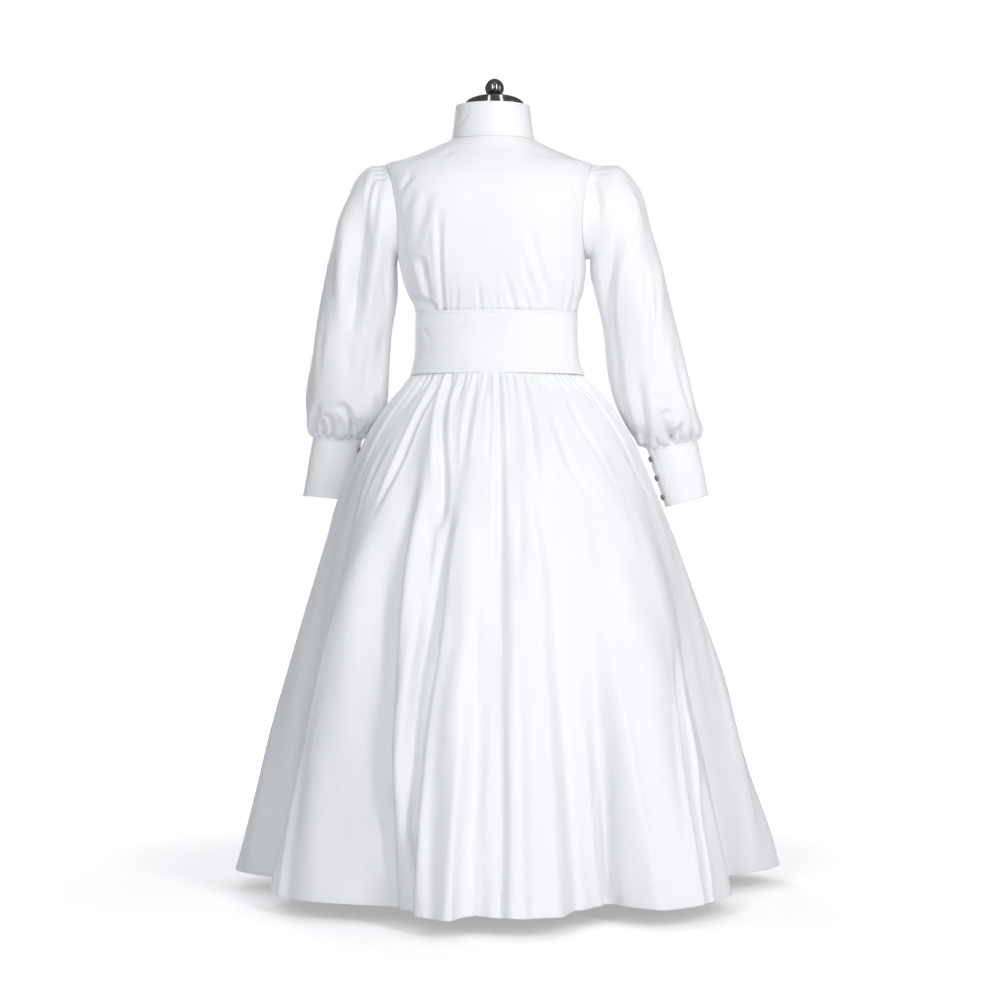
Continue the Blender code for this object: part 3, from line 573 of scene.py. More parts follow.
def outward(grid, closed=False):
    """The cloth's unit normals at a grid of points, whose rows run down and whose columns run round."""
    down = np.gradient(grid, axis=0)
    if closed:
        across = np.roll(grid, -1, axis=1) - np.roll(grid, 1, axis=1)
    else:
        across = np.gradient(grid, axis=1)
    normals = np.cross(down, across)
    return normals / np.linalg.norm(normals, axis=2, keepdims=True)


def crease_relief(grid, creases):
    """How far the folds move each point out: a trough, narrower at its low end, with a soft roll at
    each side of it."""
    seen = grid[..., [0, 2]]
    relief = np.zeros(seen.shape[:2])
    t = np.linspace(0, 1, 15)[:, None]
    for crease in creases:
        low, mid, high = np.array(crease[:6]).reshape(3, 2) * MM
        bend = 2 * mid - (low + high) / 2
        path = (1 - t) ** 2 * low + 2 * t * (1 - t) * bend + t**2 * high
        reach = 4 * crease.half_width * MM
        near = np.all((seen > path.min(axis=0) - reach) & (seen < path.max(axis=0) + reach), axis=2)
        if not near.any():
            continue
        here = seen[near]
        best = np.full(len(here), 1e9)
        along = np.zeros(len(here))
        for i in range(len(path) - 1):
            run = path[i + 1] - path[i]
            offset = here - path[i]
            share = np.clip(offset @ run / (run @ run), 0, 1)
            aside = np.linalg.norm(offset - share[:, None] * run, axis=1)
            closer = aside < best
            best = np.where(closer, aside, best)
            along = np.where(closer, (i + share) / (len(path) - 1), along)
        fade = np.ones(len(here))
        if crease.low_fade:
            fade *= eased(along / crease.low_fade)
        if crease.high_fade:
            fade *= eased((1 - along) / crease.high_fade)
        u = best / (crease.half_width * MM * (TROUGH_START + TROUGH_WIDENING * along))
        roll = ROLL_HEIGHT * np.exp(-((u - ROLL_PLACE) ** 2) / ROLL_SPREAD)
        relief[near] += crease.depth * MM * fade * (-np.exp(-(u**TROUGH_POWER)) + roll)
    return relief


def gather_relief(around, below, gathers, radius, width=GATHER_WIDTH, spread=GATHER_SPREAD):
    """Narrow troughs that start at a seam and widen and fade away from it. The places go round in
    degrees at that radius, and below is the distance from the seam."""
    relief = np.zeros(np.broadcast(around, below).shape)
    for gather in gathers:
        aside = np.abs((around - gather.at + 180) % 360 - 180) * math.radians(1) * radius
        share = np.clip(below / (gather.length * MM), 0, 1)
        start = GATHER_AT_SEAM + (1 - GATHER_AT_SEAM) * eased(below / GATHER_FULL)
        depth = gather.depth * MM * start * (1 - eased(share))
        relief -= depth * np.exp(-((aside / (width + spread * below)) ** GATHER_POWER))
    return relief


def ripple(grid, waves, seed):
    """Small uneven waves of the cloth, as how far each point moves out."""
    across, down = 1 / (waves.across * MM), 1 / (waves.down * MM)
    places = grid.reshape(-1, 3) * np.array([across, across, down]) + seed
    values = [noise.noise(Vector(place)) for place in places]
    return np.array(values).reshape(grid.shape[:2]) * (waves.height * MM)


def cloth_lengths(grid, closed):
    """The grid's UV map in metres of cloth: along each row from its middle, and down its columns."""
    rows = np.concatenate([grid, grid[:, :1]], axis=1) if closed else grid
    steps = np.linalg.norm(np.diff(rows, axis=1), axis=2)
    across = np.concatenate([np.zeros((len(rows), 1)), np.cumsum(steps, axis=1)], axis=1)
    across -= across[:, [across.shape[1] // 2]]
    drops = np.linalg.norm(np.diff(rows, axis=0), axis=2).mean(axis=1)
    down = -np.concatenate([[0], np.cumsum(drops)])
    return np.stack([across, np.repeat(down[:, None], across.shape[1], axis=1)], axis=2)


def cloth_piece(name, grid, wall, closed=False, edge=0.0):
    """A thin wall of cloth inside a grid of points, top row first. An edge is the roundness of its
    folded edges."""
    count, width = grid.shape[:2]
    columns = width if closed else width - 1
    i, j = np.meshgrid(np.arange(count - 1), np.arange(columns), indexing="ij")
    corners = [(i + down, j + along) for down, along in ((0, 0), (1, 0), (1, 1), (0, 1))]
    faces = np.stack([row * width + column % width for row, column in corners], axis=2).reshape(-1, 4)
    mesh = bpy.data.meshes.new(name)
    mesh.from_pydata(grid.reshape(-1, 3).tolist(), [], faces.tolist())
    lengths = cloth_lengths(grid, closed)
    uv = np.stack([lengths[row, column] for row, column in corners], axis=2).reshape(-1, 2)
    layer = mesh.uv_layers.new(name="cloth")
    layer.data.foreach_set("uv", uv.ravel())
    piece = bpy.data.objects.new(name, mesh)
    bpy.context.scene.collection.objects.link(piece)
    shell = piece.modifiers.new("wall", "SOLIDIFY")
    shell.thickness = wall
    shell.offset = -1
    if edge:
        rounded = piece.modifiers.new("edge", "BEVEL")
        rounded.width = edge
        rounded.segments = 2
        rounded.limit_method = "ANGLE"
        rounded.angle_limit = math.radians(60)
    apply_modifiers(piece)
    piece.data.shade_smooth()
    return piece


THREAD_PITCH = 0.45 * MM
# A wave texture turns through 20 radians in a metre when its scale is 1.
WAVE_TURNS = 20 / (2 * math.pi)

white_cloth = start_finish(
    "white_cloth",
    (0.9, 0.905, 0.92),
    0.55,
    more={"Sheen Weight": 0.25, "Sheen Roughness": 0.35, "Specular IOR Level": 0.35},
)
cloth_map = add_node(white_cloth, "ShaderNodeUVMap", uv_map="cloth").outputs["UV"]
cloth_threads = crossed_threads(white_cloth, cloth_map, 1 / (WAVE_TURNS * THREAD_PITCH), "XY")
add_relief(white_cloth, cloth_threads, 0.35, 0.08 * MM)
crumple_values = {"Vector": object_places(white_cloth), "Scale": (1, 1, 0.55)}
crumple_places = add_node(white_cloth, "ShaderNodeMapping", crumple_values).outputs[0]
crumples = grain(white_cloth, crumple_places, 38, 5)
add_relief(white_cloth, crumples, 0.5, 2.2 * MM)
# The cloth's tone follows the crumples' relief and is a little darker in their hollows: an uneven tone that
# is also a faint painted shade there.
vary_colour(white_cloth, crumples, (0.885, 0.89, 0.91), (0.91, 0.915, 0.93))
vary_roughness(white_cloth, grain(white_cloth, cloth_map, 900, 2), 0.48, 0.62)


def even_heights(surface, top, bottom, step):
    """Heights from top to bottom that lie about a step apart on the surface."""
    fine = np.linspace(top, bottom, HEIGHT_SAMPLES)
    lines = np.stack([surface(height, np.linspace(-2, 2, TURN_SAMPLES)) for height in fine])
    run = np.concatenate([[0], np.cumsum(np.linalg.norm(np.diff(lines, axis=0), axis=2).mean(axis=1))])
    return np.interp(np.linspace(0, run[-1], round(run[-1] / step)), run, fine)


ARMHOLE_HEIGHT = 1184 * MM
ARMHOLE_HALF_HEIGHT = 82 * MM
ARMHOLE_HALF_DEPTH = 62 * MM
ARMHOLE_FORWARD = -2 * MM
ARMHOLE_CUT = 200 * MM

bodice_heights = even_heights(bodice_surface, BODICE_TOP - BODICE_GAP, WAIST_SEAM, BODICE_ROW)
bodice_heights = np.append(bodice_heights, WAIST_SEAM - TUCK)
armhole_cutters = {}
for side in (-1, 1):
    bpy.ops.object.select_all(action="DESELECT")
    bpy.ops.mesh.primitive_cylinder_add(
        vertices=128,
        radius=1,
        depth=ARMHOLE_CUT,
        location=(side * ARMHOLE_CUT, ARMHOLE_FORWARD, ARMHOLE_HEIGHT),
        rotation=(0, math.pi / 2, 0),
    )
    armhole_cutters[side] = bpy.context.object
    armhole_cutters[side].scale = (ARMHOLE_HALF_HEIGHT, ARMHOLE_HALF_DEPTH, 1)
bodice_panels = (
    ("bodice_back", -1, 1, BACK_COLUMNS, BACK_CREASES, BACK_WAIST_GATHERS, (0.48, 0.38)),
    ("bodice_front_right", 1, 2, FRONT_COLUMNS, FRONT_CREASES, FRONT_WAIST_GATHERS, (0.25, 0.37)),
    ("bodice_front_left", -2, -1, FRONT_COLUMNS, FRONT_CREASES, FRONT_WAIST_GATHERS, (0.25, 0.37)),
)
grids = {}
for name, start, end, columns, creases, gathers, cut in bodice_panels:
    turns = np.linspace(start + SEAM_EDGE, end - SEAM_EDGE, columns)
    grid = np.stack([bodice_surface(max(height, WAIST_SEAM), turns) for height in bodice_heights])
    grid[:, :, 2] -= np.clip(WAIST_SEAM - bodice_heights, 0, None)[:, None]
    above_waist = (grid[:, :, 2] - WAIST_SEAM).clip(0)
    relief = crease_relief(grid, creases)
    relief += gather_relief(turns[None] * 90, above_waist, gathers, BODICE_GATHER_RADIUS)
    relief += ripple(grid, BODICE_WAVES, BODICE_SEED) * eased(above_waist / BODICE_WAVES_FULL)
    relief -= TUCK_IN * (1 - eased(above_waist / TUCK_ROUNDING))
    relief = np.clip(relief, *BODICE_RELIEF)
    from_seam = np.minimum(np.abs(turns - start), np.abs(turns - end)) * QUARTER_ROUND
    relief -= SEAM_GROOVE * np.exp(-((from_seam / SEAM_GROOVE_WIDTH) ** 2))
    if start != -1:
        relief *= eased((2 - np.abs(turns)) / PLACKET_CALM_TURN)
    grid += outward(grid) * relief[..., None]
    grids[name] = grid
    panel = cloth_piece(f"{name}_cloth", grid, CLOTH)
    for side, cutter in armhole_cutters.items():
        if start <= side <= end:
            cut_out = panel.modifiers.new("armhole", "BOOLEAN")
            cut_out.operation = "DIFFERENCE"
            cut_out.object = cutter
    apply_modifiers(panel)
    panel.data.shade_smooth()
    finish_piece(panel, name, white_cloth)
for cutter in armhole_cutters.values():
    bpy.data.objects.remove(cutter)

# The front placket
# A strip of the same cloth down the centre front, folded under at both edges and topstitched to the
# right front. It carries the buttons.
PLACKET_HALF_WIDTH = 14 * MM
PLACKET_TOP = 1305 * MM
PLACKET_BOTTOM = 1009 * MM
PLACKET_LIFT = 1.8 * MM
PLACKET_WALL = 1.2 * MM
PLACKET_ROWS, PLACKET_COLUMNS = 110, 15
FOLDED_EDGE = 0.35 * MM
PLACKET_WAVES = Waves(30, 40, 0.5)
PLACKET_SEED = 7.7
LENGTH_SAMPLES = 241


def quarter_length(section):
    points = ring(section, np.linspace(0, 1, LENGTH_SAMPLES))
    return float(np.linalg.norm(np.diff(points, axis=0), axis=1).sum())


def sew_piece(node, grid, wall, **form):
    """A piece of the white cloth that stands for a node."""
    piece = cloth_piece(f"{node}_cloth", grid, wall, **form)
    finish_piece(piece, node, white_cloth)
    return piece


placket_rows = []
for height in np.linspace(PLACKET_TOP, PLACKET_BOTTOM, PLACKET_ROWS):
    half = PLACKET_HALF_WIDTH / quarter_length(section_at(BODICE_SECTIONS, height))
    placket_turns = np.linspace(2 - half, 2 + half, PLACKET_COLUMNS)
    placket_rows.append(raised(bodice_surface, height, placket_turns, PLACKET_LIFT))
placket_grid = np.stack(placket_rows)
placket_grid += outward(placket_grid) * ripple(placket_grid, PLACKET_WAVES, PLACKET_SEED)[..., None]
placket = sew_piece("front_placket", placket_grid, PLACKET_WALL, edge=FOLDED_EDGE)

# The sleeves
# Full bishop sleeves, each one piece of cloth with a seam on its inner side. The head is gathered
# into the armhole, and the end into the cuff, so that it puffs out over the cuff's top edge.
SLEEVE_ROW = 3.1 * MM
SLEEVE_COLUMNS = 176
ARMHOLE_CLEARANCE = 0.5 * MM
ARMHOLE_TUCK = 1.5 * MM
HEAD_STEP = 1.0 * MM
SLEEVE_WAVES = Waves(42, 130, 5)
SLEEVE_RELIEF = (-36 * MM, 7 * MM)
SLEEVE_BLEND = 0.25
SLEEVE_CALM = 9 * MM
CUFF_CALM = 3 * MM
HEAD_SEAM = 4 * MM
HEAD_RADIUS = 72 * MM
CUFF_SEAM = 6 * MM
CUFF_RADIUS = 50 * MM
CUFF_GATHER_SHARE = 1.3
CUFF_GATHER_WIDTH, CUFF_GATHER_SPREAD = 3.2 * MM, 0.1
PUFF_HEIGHT, PUFF_PLACE, PUFF_SPREAD = 3 * MM, 16 * MM, 14 * MM

# A ring of a sleeve: how far out and how high its outer and its inner point are, how far forward its
# middle is, and half its depth from back to front
SleeveRing = namedtuple("SleeveRing", "out out_height inner inner_height forward half_depth")
# How the sleeve's end is drawn in from the top of its cuff
CUFF_TUCK = SleeveRing(-2.9, -4, 2.9, -4, 0, -2.9)
LEFT_SLEEVE = table_of(
    SleeveRing,
    (214, 1265, 173, 1100, -1, 64),
    (240, 1242, 174.5, 1094, 1, 67),
    (261, 1208, 174.5, 1086, 4, 69),
    (277, 1166, 174, 1074, 9, 69),
    (290, 1112, 173.5, 1050, 16, 68),
    (303, 1052, 176.5, 1016, 26, 67),
    (316, 985, 183, 970, 39, 67),
    (327, 920, 190, 918, 53, 67),
    (337, 860, 194, 860, 68, 66),
    (339, 824, 202, 822, 80, 60),
    (332, 800, 222, 798, 88, 44),
)
LEFT_CUFF = table_of(SleeveRing, (326, 791.5, 240, 789, 92, 32.5), (345, 687.5, 272, 681, 98, 29.5))
RIGHT_SLEEVE = table_of(
    SleeveRing,
    (212, 1263.5, 166, 1101, -2, 64),
    (238, 1241, 166, 1095, -1, 67),
    (257, 1208, 166, 1088, 0, 69),
    (272, 1160, 167, 1074, 2, 69),
    (288, 1104, 172.5, 1050, 5, 68),
    (304, 1040, 181, 1016, 10, 67),
    (321, 975, 191, 970, 16, 67),
    (338, 905, 199, 912, 22, 66),
    (354, 842, 212, 850, 29, 65),
    (364, 808, 229, 812, 34, 60),
    (361, 792.5, 251, 784, 38, 44),
)
RIGHT_CUFF = table_of(SleeveRing, (356, 785, 270, 770, 40, 32.5), (376, 688.5, 303, 668.5, 45, 29.5))
LEFT_SLEEVE_BACK = table_of(
    Crease,
    (-224, 1166, -217, 1217, -206, 1256, 5, 4.5, 0.6, 0.4),
    (-211, 1100, -206, 1195, -195, 1256, 6, 3.5, 0.6, 0.3),
    (-253, 950, -238, 1085, -222, 1222, 16, 23, 0.4, 0.45),
    (-205, 880, -195, 957, -183, 1010, 9, 4.5, 0.5, 0.6),
    (-259, 880, -256, 923, -252, 964, 7, 2.5, 0.5, 0.6),
    (-204, 832, -209, 846, -213, 866, 5, 4.5, 0.4, 0.4),
    (-290, 790, -290, 816, -303, 833, 4.5, 6, 0, 0.4),
    (-255, 790, -258, 830, -284, 851, 6.5, 9, 0, 0.5),
    (-319, 792, -320, 824, -303, 860, 6.5, 7, 0, 0.5),
    (-243, 790, -242, 812, -236, 824, 4, 4, 0, 0.4),
    (-288, 1020, -281, 1090, -268, 1160, 7, 3, 0.6, 0.6),
    (-186, 1010, -192, 1056, -196, 1100, 5, 3.4, 0.6, 0.6),
    (-309, 880, -303, 950, -293, 1014, 6, 2.6, 0.6, 0.6),
    (-228, 868, -226, 915, -222, 955, 6, 2.2, 0.5, 0.6),
)
RIGHT_SLEEVE_BACK = table_of(
    Crease,
    (176, 1150, 177, 1195, 162, 1246, 6.5, 7, 0.6, 0.2),
    (220, 1192, 197, 1217, 168, 1244, 7, 3.6, 0.6, 0.2),
    (209, 935, 197, 1053, 222, 1156, 9, 14, 0.4, 0.5),
    (224, 828, 212, 905, 203, 1010, 9, 6, 0.3, 0.5),
    (168, 1074, 170, 1105, 164, 1150, 4.5, 2.6, 0.5, 0.5),
    (231, 1072, 236, 1113, 253, 1150, 5.5, 3, 0.5, 0.5),
    (266, 890, 264, 1009, 259, 1144, 6.5, 4.5, 0.5, 0.6),
    (275, 948, 279, 1027, 271, 1142, 6, 3.6, 0.5, 0.6),
    (271, 1112, 254, 1196, 224, 1250, 5, 2.6, 0.6, 0.4),
    (345, 822, 326, 885, 311, 964, 5.5, 3.4, 0.3, 0.6),
    (268, 776, 254, 846, 247, 920, 9, 12, 0, 0.6),
    (252, 775, 244, 800, 238, 824, 5, 4, 0.1, 0.5),
    (282, 815, 294, 830, 308, 831, 5, 4.5, 0.4, 0.4),
    (311, 779, 304, 796, 299, 818, 5.5, 7, 0, 0.5),
    (311, 779, 318, 800, 338, 819, 5.5, 7, 0, 0.5),
    (286, 776, 283, 786, 278, 796, 3.5, 4, 0, 0.5),
    (345, 786, 343, 796, 338, 806, 4, 4, 0, 0.5),
)
LEFT_SLEEVE_FRONT = table_of(
    Crease,
    (-248, 940, -236, 1046, -224, 1150, 11, 7.5, 0.5, 0.5),
    (-212, 1096, -207, 1180, -196, 1250, 6, 4.5, 0.6, 0.3),
    (-230, 1160, -222, 1208, -208, 1250, 5, 3.6, 0.6, 0.4),
    (-280, 900, -276, 1000, -264, 1110, 7, 4, 0.5, 0.6),
    (-214, 860, -206, 940, -196, 1010, 8, 4.6, 0.5, 0.6),
    (-300, 850, -296, 910, -288, 968, 6, 3.4, 0.4, 0.6),
    (-252, 1160, -246, 1204, -232, 1242, 5, 2.8, 0.6, 0.4),
)
RIGHT_SLEEVE_FRONT = table_of(
    Crease,
    (252, 930, 238, 1040, 224, 1146, 11, 7.5, 0.5, 0.5),
    (210, 1100, 203, 1184, 190, 1250, 6, 4.5, 0.6, 0.3),
    (228, 1156, 220, 1206, 204, 1250, 5, 3.6, 0.6, 0.4),
    (296, 890, 284, 990, 270, 1100, 7, 4, 0.5, 0.6),
    (232, 850, 220, 930, 206, 1004, 8, 4.6, 0.5, 0.6),
    (326, 840, 318, 900, 306, 960, 6, 3.4, 0.4, 0.6),
    (250, 1150, 244, 1200, 230, 1240, 5, 2.8, 0.6, 0.4),
)
# The places of these gathers are degrees round the sleeve from its outer point, towards its front.
HEAD_GATHERS = table_of(
    Gather,
    (-96, 1.6, 26), (-78, 2.2, 34), (-64, 2.8, 44), (-51, 2.4, 30),
    (-40, 3.2, 50), (-29, 2.6, 36), (-19, 3.4, 56), (-8, 2.8, 40),
    (3, 3.4, 52), (13, 2.6, 38), (24, 3.2, 54), (36, 2.6, 36),
    (48, 2.8, 46), (61, 2.2, 32), (76, 2.2, 38), (94, 1.6, 24),
)
CUFF_GATHERS = table_of(
    Gather,
    (-168, 5.6, 56), (-141, 7.2, 72), (-118, 5.4, 44), (-92, 7.6, 78),
    (-70, 6, 48), (-44, 7.4, 70), (-20, 5.6, 46), (7, 7, 68),
    (31, 5.6, 46), (58, 7.2, 70), (82, 5.8, 50), (109, 7.4, 74),
    (132, 5.6, 48), (159, 6.8, 66),
)


def sleeve_ring(row, angles, side):
    """A ring of a sleeve. The angle is 0 at its outer point and a quarter turn at its front."""
    outer = np.array([side * row.out, row.forward, row.out_height])
    inner = np.array([side * row.inner, row.forward, row.inner_height])
    deep = [0, row.half_depth, 0]
    across = np.outer(np.cos(angles), (outer - inner) / 2)
    return ((outer + inner) / 2 + across + np.outer(np.sin(angles), deep)) * MM


def armhole_ring(angles, side, out):
    """The sleeve's edge in the armhole, that far out from the bodice's face."""
    forward = ARMHOLE_FORWARD + (ARMHOLE_HALF_DEPTH - ARMHOLE_CLEARANCE) * np.sin(angles)
    height = ARMHOLE_HEIGHT + (ARMHOLE_HALF_HEIGHT - ARMHOLE_CLEARANCE) * np.cos(angles)
    across = []
    for h, f in zip(height, forward):
        section = section_at(BODICE_SECTIONS, h)
        share = 1 - (abs(f) / (section.back if f < 0 else section.front)) ** section.squareness
        across.append(section.shift + side * (section.half_width * share ** (1 / section.squareness) + out))
    return np.stack([across, forward, height], axis=1)


def through_rings(keys, step):
    """Rows a step apart through a few rings of points, smooth along the piece."""
    keys = np.stack(keys)
    along = np.concatenate([[0], np.cumsum(np.linalg.norm(np.diff(keys, axis=0), axis=2).mean(axis=1))])
    return smooth_through(along, keys, np.linspace(0, along[-1], round(along[-1] / step)))


def run_from_start(grid):
    """How far along the cloth each point lies from its column's first row."""
    steps = np.linalg.norm(np.diff(grid, axis=0), axis=2)
    return np.concatenate([np.zeros((1, grid.shape[1])), np.cumsum(steps, axis=0)])


def back_share(facing, blend):
    """1 where the cloth faces back and 0 where it faces front, from its normals."""
    return eased((blend - facing[..., 1]) / (2 * blend))


sleeves = (
    ("left", -1, LEFT_SLEEVE, LEFT_CUFF, LEFT_SLEEVE_BACK, LEFT_SLEEVE_FRONT, 11.3),
    ("right", 1, RIGHT_SLEEVE, RIGHT_CUFF, RIGHT_SLEEVE_BACK, RIGHT_SLEEVE_FRONT, 23.9),
)
for name, side, rings, cuff_rings, back_creases, front_creases, seed in sleeves:
    angles = np.linspace(0, 2 * math.pi, SLEEVE_COLUMNS, endpoint=False) * side
    tucked = SleeveRing(*(value + step for value, step in zip(cuff_rings[0], CUFF_TUCK)))
    keys = [armhole_ring(angles, side, -ARMHOLE_TUCK), armhole_ring(angles, side, HEAD_STEP)]
    keys += [sleeve_ring(row, angles, side) for row in (*rings, tucked)]
    grid = through_rings(keys, SLEEVE_ROW)
    facing = outward(grid, closed=True)
    from_head = run_from_start(grid)
    from_cuff = from_head[-1] - from_head
    at_back = back_share(facing, SLEEVE_BLEND)
    relief = crease_relief(grid, back_creases) * at_back
    relief += crease_relief(grid, front_creases) * (1 - at_back)
    degrees = np.degrees(angles * side)[None]
    relief += gather_relief(degrees, (from_head - HEAD_SEAM).clip(0), HEAD_GATHERS, HEAD_RADIUS)
    up_from_cuff = (from_cuff - CUFF_SEAM).clip(0)
    relief += CUFF_GATHER_SHARE * gather_relief(
        degrees, up_from_cuff, CUFF_GATHERS, CUFF_RADIUS, CUFF_GATHER_WIDTH, CUFF_GATHER_SPREAD
    )
    relief += PUFF_HEIGHT * np.exp(-(((up_from_cuff - PUFF_PLACE) / PUFF_SPREAD) ** 2))
    relief += ripple(grid, SLEEVE_WAVES, seed)
    relief *= eased(from_head / SLEEVE_CALM) * eased((from_cuff - CUFF_CALM) / SLEEVE_CALM)
    grid += facing * np.clip(relief, *SLEEVE_RELIEF)[..., None]
    grids[f"sleeve_{name}"] = grid
    sleeve = sew_piece(f"sleeve_{name}", grid, CLOTH, closed=True)

# The collar
# A plain stand collar of two layers with a stiffener between them, sewn on at the neck. Its ends lap
# at the centre front under two buttons.
COLLAR_WALL = 1.8 * MM
COLLAR_TOP = 1368.5 * MM
COLLAR_LAP = 22 * MM
COLLAR_COLUMNS = 230
COLLAR_ROW = 2.4 * MM
COLLAR_TUCK = 1.6 * MM
LAP_LIFT = 2.7 * MM
LAP_RAISED = 1.1
STITCH_GROOVE = 0.6 * MM
STITCH_GROOVE_WIDTH = 1.8 * MM
COLLAR_SECTIONS = table_of(
    Section,
    (1308.5, -4, 72.2, 64, 56.5, 2),
    (1338, -4.5, 68.2, 62, 55.5, 2),
    (1368.5, -5, 65.2, 60.5, 56.5, 2),
)
COLLAR_CREASES = table_of(
    Crease,
    (66, 1312, 12, 1328, -50, 1330, 3.5, 1.1, 0.1, 0.4),
    (-66, 1330, -54, 1342, -42, 1355, 3.5, 1.3, 0.2, 0.5),
    (20, 1346, 36, 1352, 56, 1351, 4, 0.8, 0.5, 0.5),
)
COLLAR_STITCH = 2.6 * MM
COLLAR_GAP = 0.4 * MM
COLLAR_WAVES = Waves(60, 45, 1.2)
COLLAR_SEED = 31.3
BAND_EDGE = 0.5 * MM
BAND_BLEND = 0.2
STITCH_ROW_STEP = 1.2 * MM
STITCH_ROW_CLEAR = 2 * MM
ALL_RELIEF = (-math.inf, math.inf)


def lapped(middle, whole_turn, lap, reach, columns):
    """Turns once round a band that laps over itself about one turn, and how far out each one lies.
    The reach is the length along the band of one turn."""
    half = lap / 2 / reach
    turns = np.linspace(middle - half, middle + half + whole_turn, columns)
    from_end = (turns[-1] - turns) * reach
    return turns, LAP_LIFT * eased(2 - from_end / (LAP_RAISED * lap))


def with_stitch_rows(heights, lines):
    """Heights with the rows that the stitch grooves need, top first."""
    near = [line + step for line in lines for step in (-STITCH_ROW_STEP, 0, STITCH_ROW_STEP)]
    apart = [
        height for height in heights if min(abs(height - line) for line in lines) > STITCH_ROW_CLEAR
    ]
    return np.array(sorted([*apart, *near], reverse=True))


def stitch_grooves(heights, lines):
    """How far a band is drawn in along its stitch lines, for each row."""
    drawn = np.zeros(len(heights))
    for line in lines:
        drawn -= STITCH_GROOVE * np.exp(-(((heights - line) / STITCH_GROOVE_WIDTH) ** 2) * 2)
    return drawn


def band_grid(surface, levels, turns, lift):
    return np.stack([raised(surface, level, turns, lift) for level in levels])


def finish_band(grid, heights, lines, creases, waves, seed, limits=ALL_RELIEF):
    """Gives a band its folds, its small waves and the grooves of its stitches."""
    facing = outward(grid)
    relief = crease_relief(grid, creases) * back_share(facing, BAND_BLEND) + ripple(grid, waves, seed)
    relief += stitch_grooves(heights, lines)[:, None]
    return grid + facing * relief.clip(*limits)[..., None]


def collar_surface(height, turns):
    return front_dropped(ring(section_at(COLLAR_SECTIONS, height), turns), 1)


collar_reach = quarter_length(section_at(COLLAR_SECTIONS, BODICE_TOP))
collar_turns, collar_lift = lapped(-2, 4, COLLAR_LAP, collar_reach, COLLAR_COLUMNS)
collar_lines = [COLLAR_TOP - COLLAR_STITCH]
collar_rows = round((COLLAR_TOP - BODICE_TOP) / COLLAR_ROW)
collar_heights = np.linspace(COLLAR_TOP, BODICE_TOP + COLLAR_GAP, collar_rows)
collar_heights = with_stitch_rows(collar_heights, collar_lines)
grid = band_grid(collar_surface, collar_heights, collar_turns, collar_lift)
grid = finish_band(grid, collar_heights, collar_lines, COLLAR_CREASES, COLLAR_WAVES, COLLAR_SEED)
foot = raised(collar_surface, BODICE_TOP, collar_turns, collar_lift - COLLAR_TUCK)
foot[:, 2] -= COLLAR_TUCK
grids["collar"] = np.concatenate([grid, foot[None]])
collar = sew_piece("collar", grids["collar"], COLLAR_WALL, edge=BAND_EDGE)

# The waistband
# A wide band of two layers that holds the gathers of the bodice above it and of the skirt below it.
# It is topstitched near both edges and laps at the centre front under three buttons.
WAISTBAND_BOTTOM = 897 * MM
WAISTBAND_WALL = 1.8 * MM
WAISTBAND_LIFT = 0.3 * MM
WAISTBAND_LAP = 30 * MM
WAISTBAND_COLUMNS = 300
WAISTBAND_ROW = 3 * MM
WAISTBAND_GAP = 0.6 * MM
WAISTBAND_STITCHES = (6.5 * MM, 8 * MM)
WAISTBAND_WAVES = Waves(70, 26, 1.4)
WAISTBAND_SEED = 41.7
WAISTBAND_RELIEF = (-2 * MM, 0.8 * MM)
WAISTBAND_SECTIONS = table_of(
    Section,
    (897.6, 3, 152.5, 111, 109, 2.1),
    (925, 1.5, 144.5, 101, 103, 2.2),
    (955, 0.5, 142, 96, 101, 2.2),
    (985, 0.8, 141.5, 95, 101, 2.2),
    (1006, 1.5, 141.3, 95, 101, 2.2),
)
WAISTBAND_CREASES = table_of(
    Crease,
    (-134, 920, -73, 944, -11, 949, 4.5, 1.5, 0.4, 0.5),
    (-83, 969, -40, 976, 11, 983, 4.5, 1.4, 0.4, 0.5),
    (-30, 926, 20, 934, 60, 938, 4, 0.9, 0.5, 0.5),
    (30, 962, 64, 970, 104, 985, 4.5, 1.1, 0.4, 0.5),
    (52, 916, 84, 920, 120, 932, 4, 0.9, 0.5, 0.5),
    (-126, 985, -118, 962, -106, 940, 5, 1.2, 0.4, 0.5),
    (120, 906, 126, 936, 128, 966, 5, 1.1, 0.3, 0.6),
)


def waist_ring(height, turns):
    return ring(section_at(WAISTBAND_SECTIONS, height), turns)


band_reach = quarter_length(section_at(WAISTBAND_SECTIONS, WAIST_SEAM))
band_turns, band_lift = lapped(-2, 4, WAISTBAND_LAP, band_reach, WAISTBAND_COLUMNS)
band_lines = [WAIST_SEAM - WAISTBAND_STITCHES[0], WAISTBAND_BOTTOM + WAISTBAND_STITCHES[1]]
band_rows = round((WAIST_SEAM - WAISTBAND_BOTTOM) / WAISTBAND_ROW)
band_heights = np.linspace(WAIST_SEAM, WAISTBAND_BOTTOM + WAISTBAND_GAP, band_rows)
band_heights = with_stitch_rows(band_heights, band_lines)
grid = band_grid(waist_ring, band_heights, band_turns, band_lift + WAISTBAND_LIFT)
grids["waistband"] = finish_band(
    grid, band_heights, band_lines, WAISTBAND_CREASES, WAISTBAND_WAVES, WAISTBAND_SEED, WAISTBAND_RELIEF
)
waistband = sew_piece("waistband", grids["waistband"], WAISTBAND_WALL, edge=BAND_EDGE)

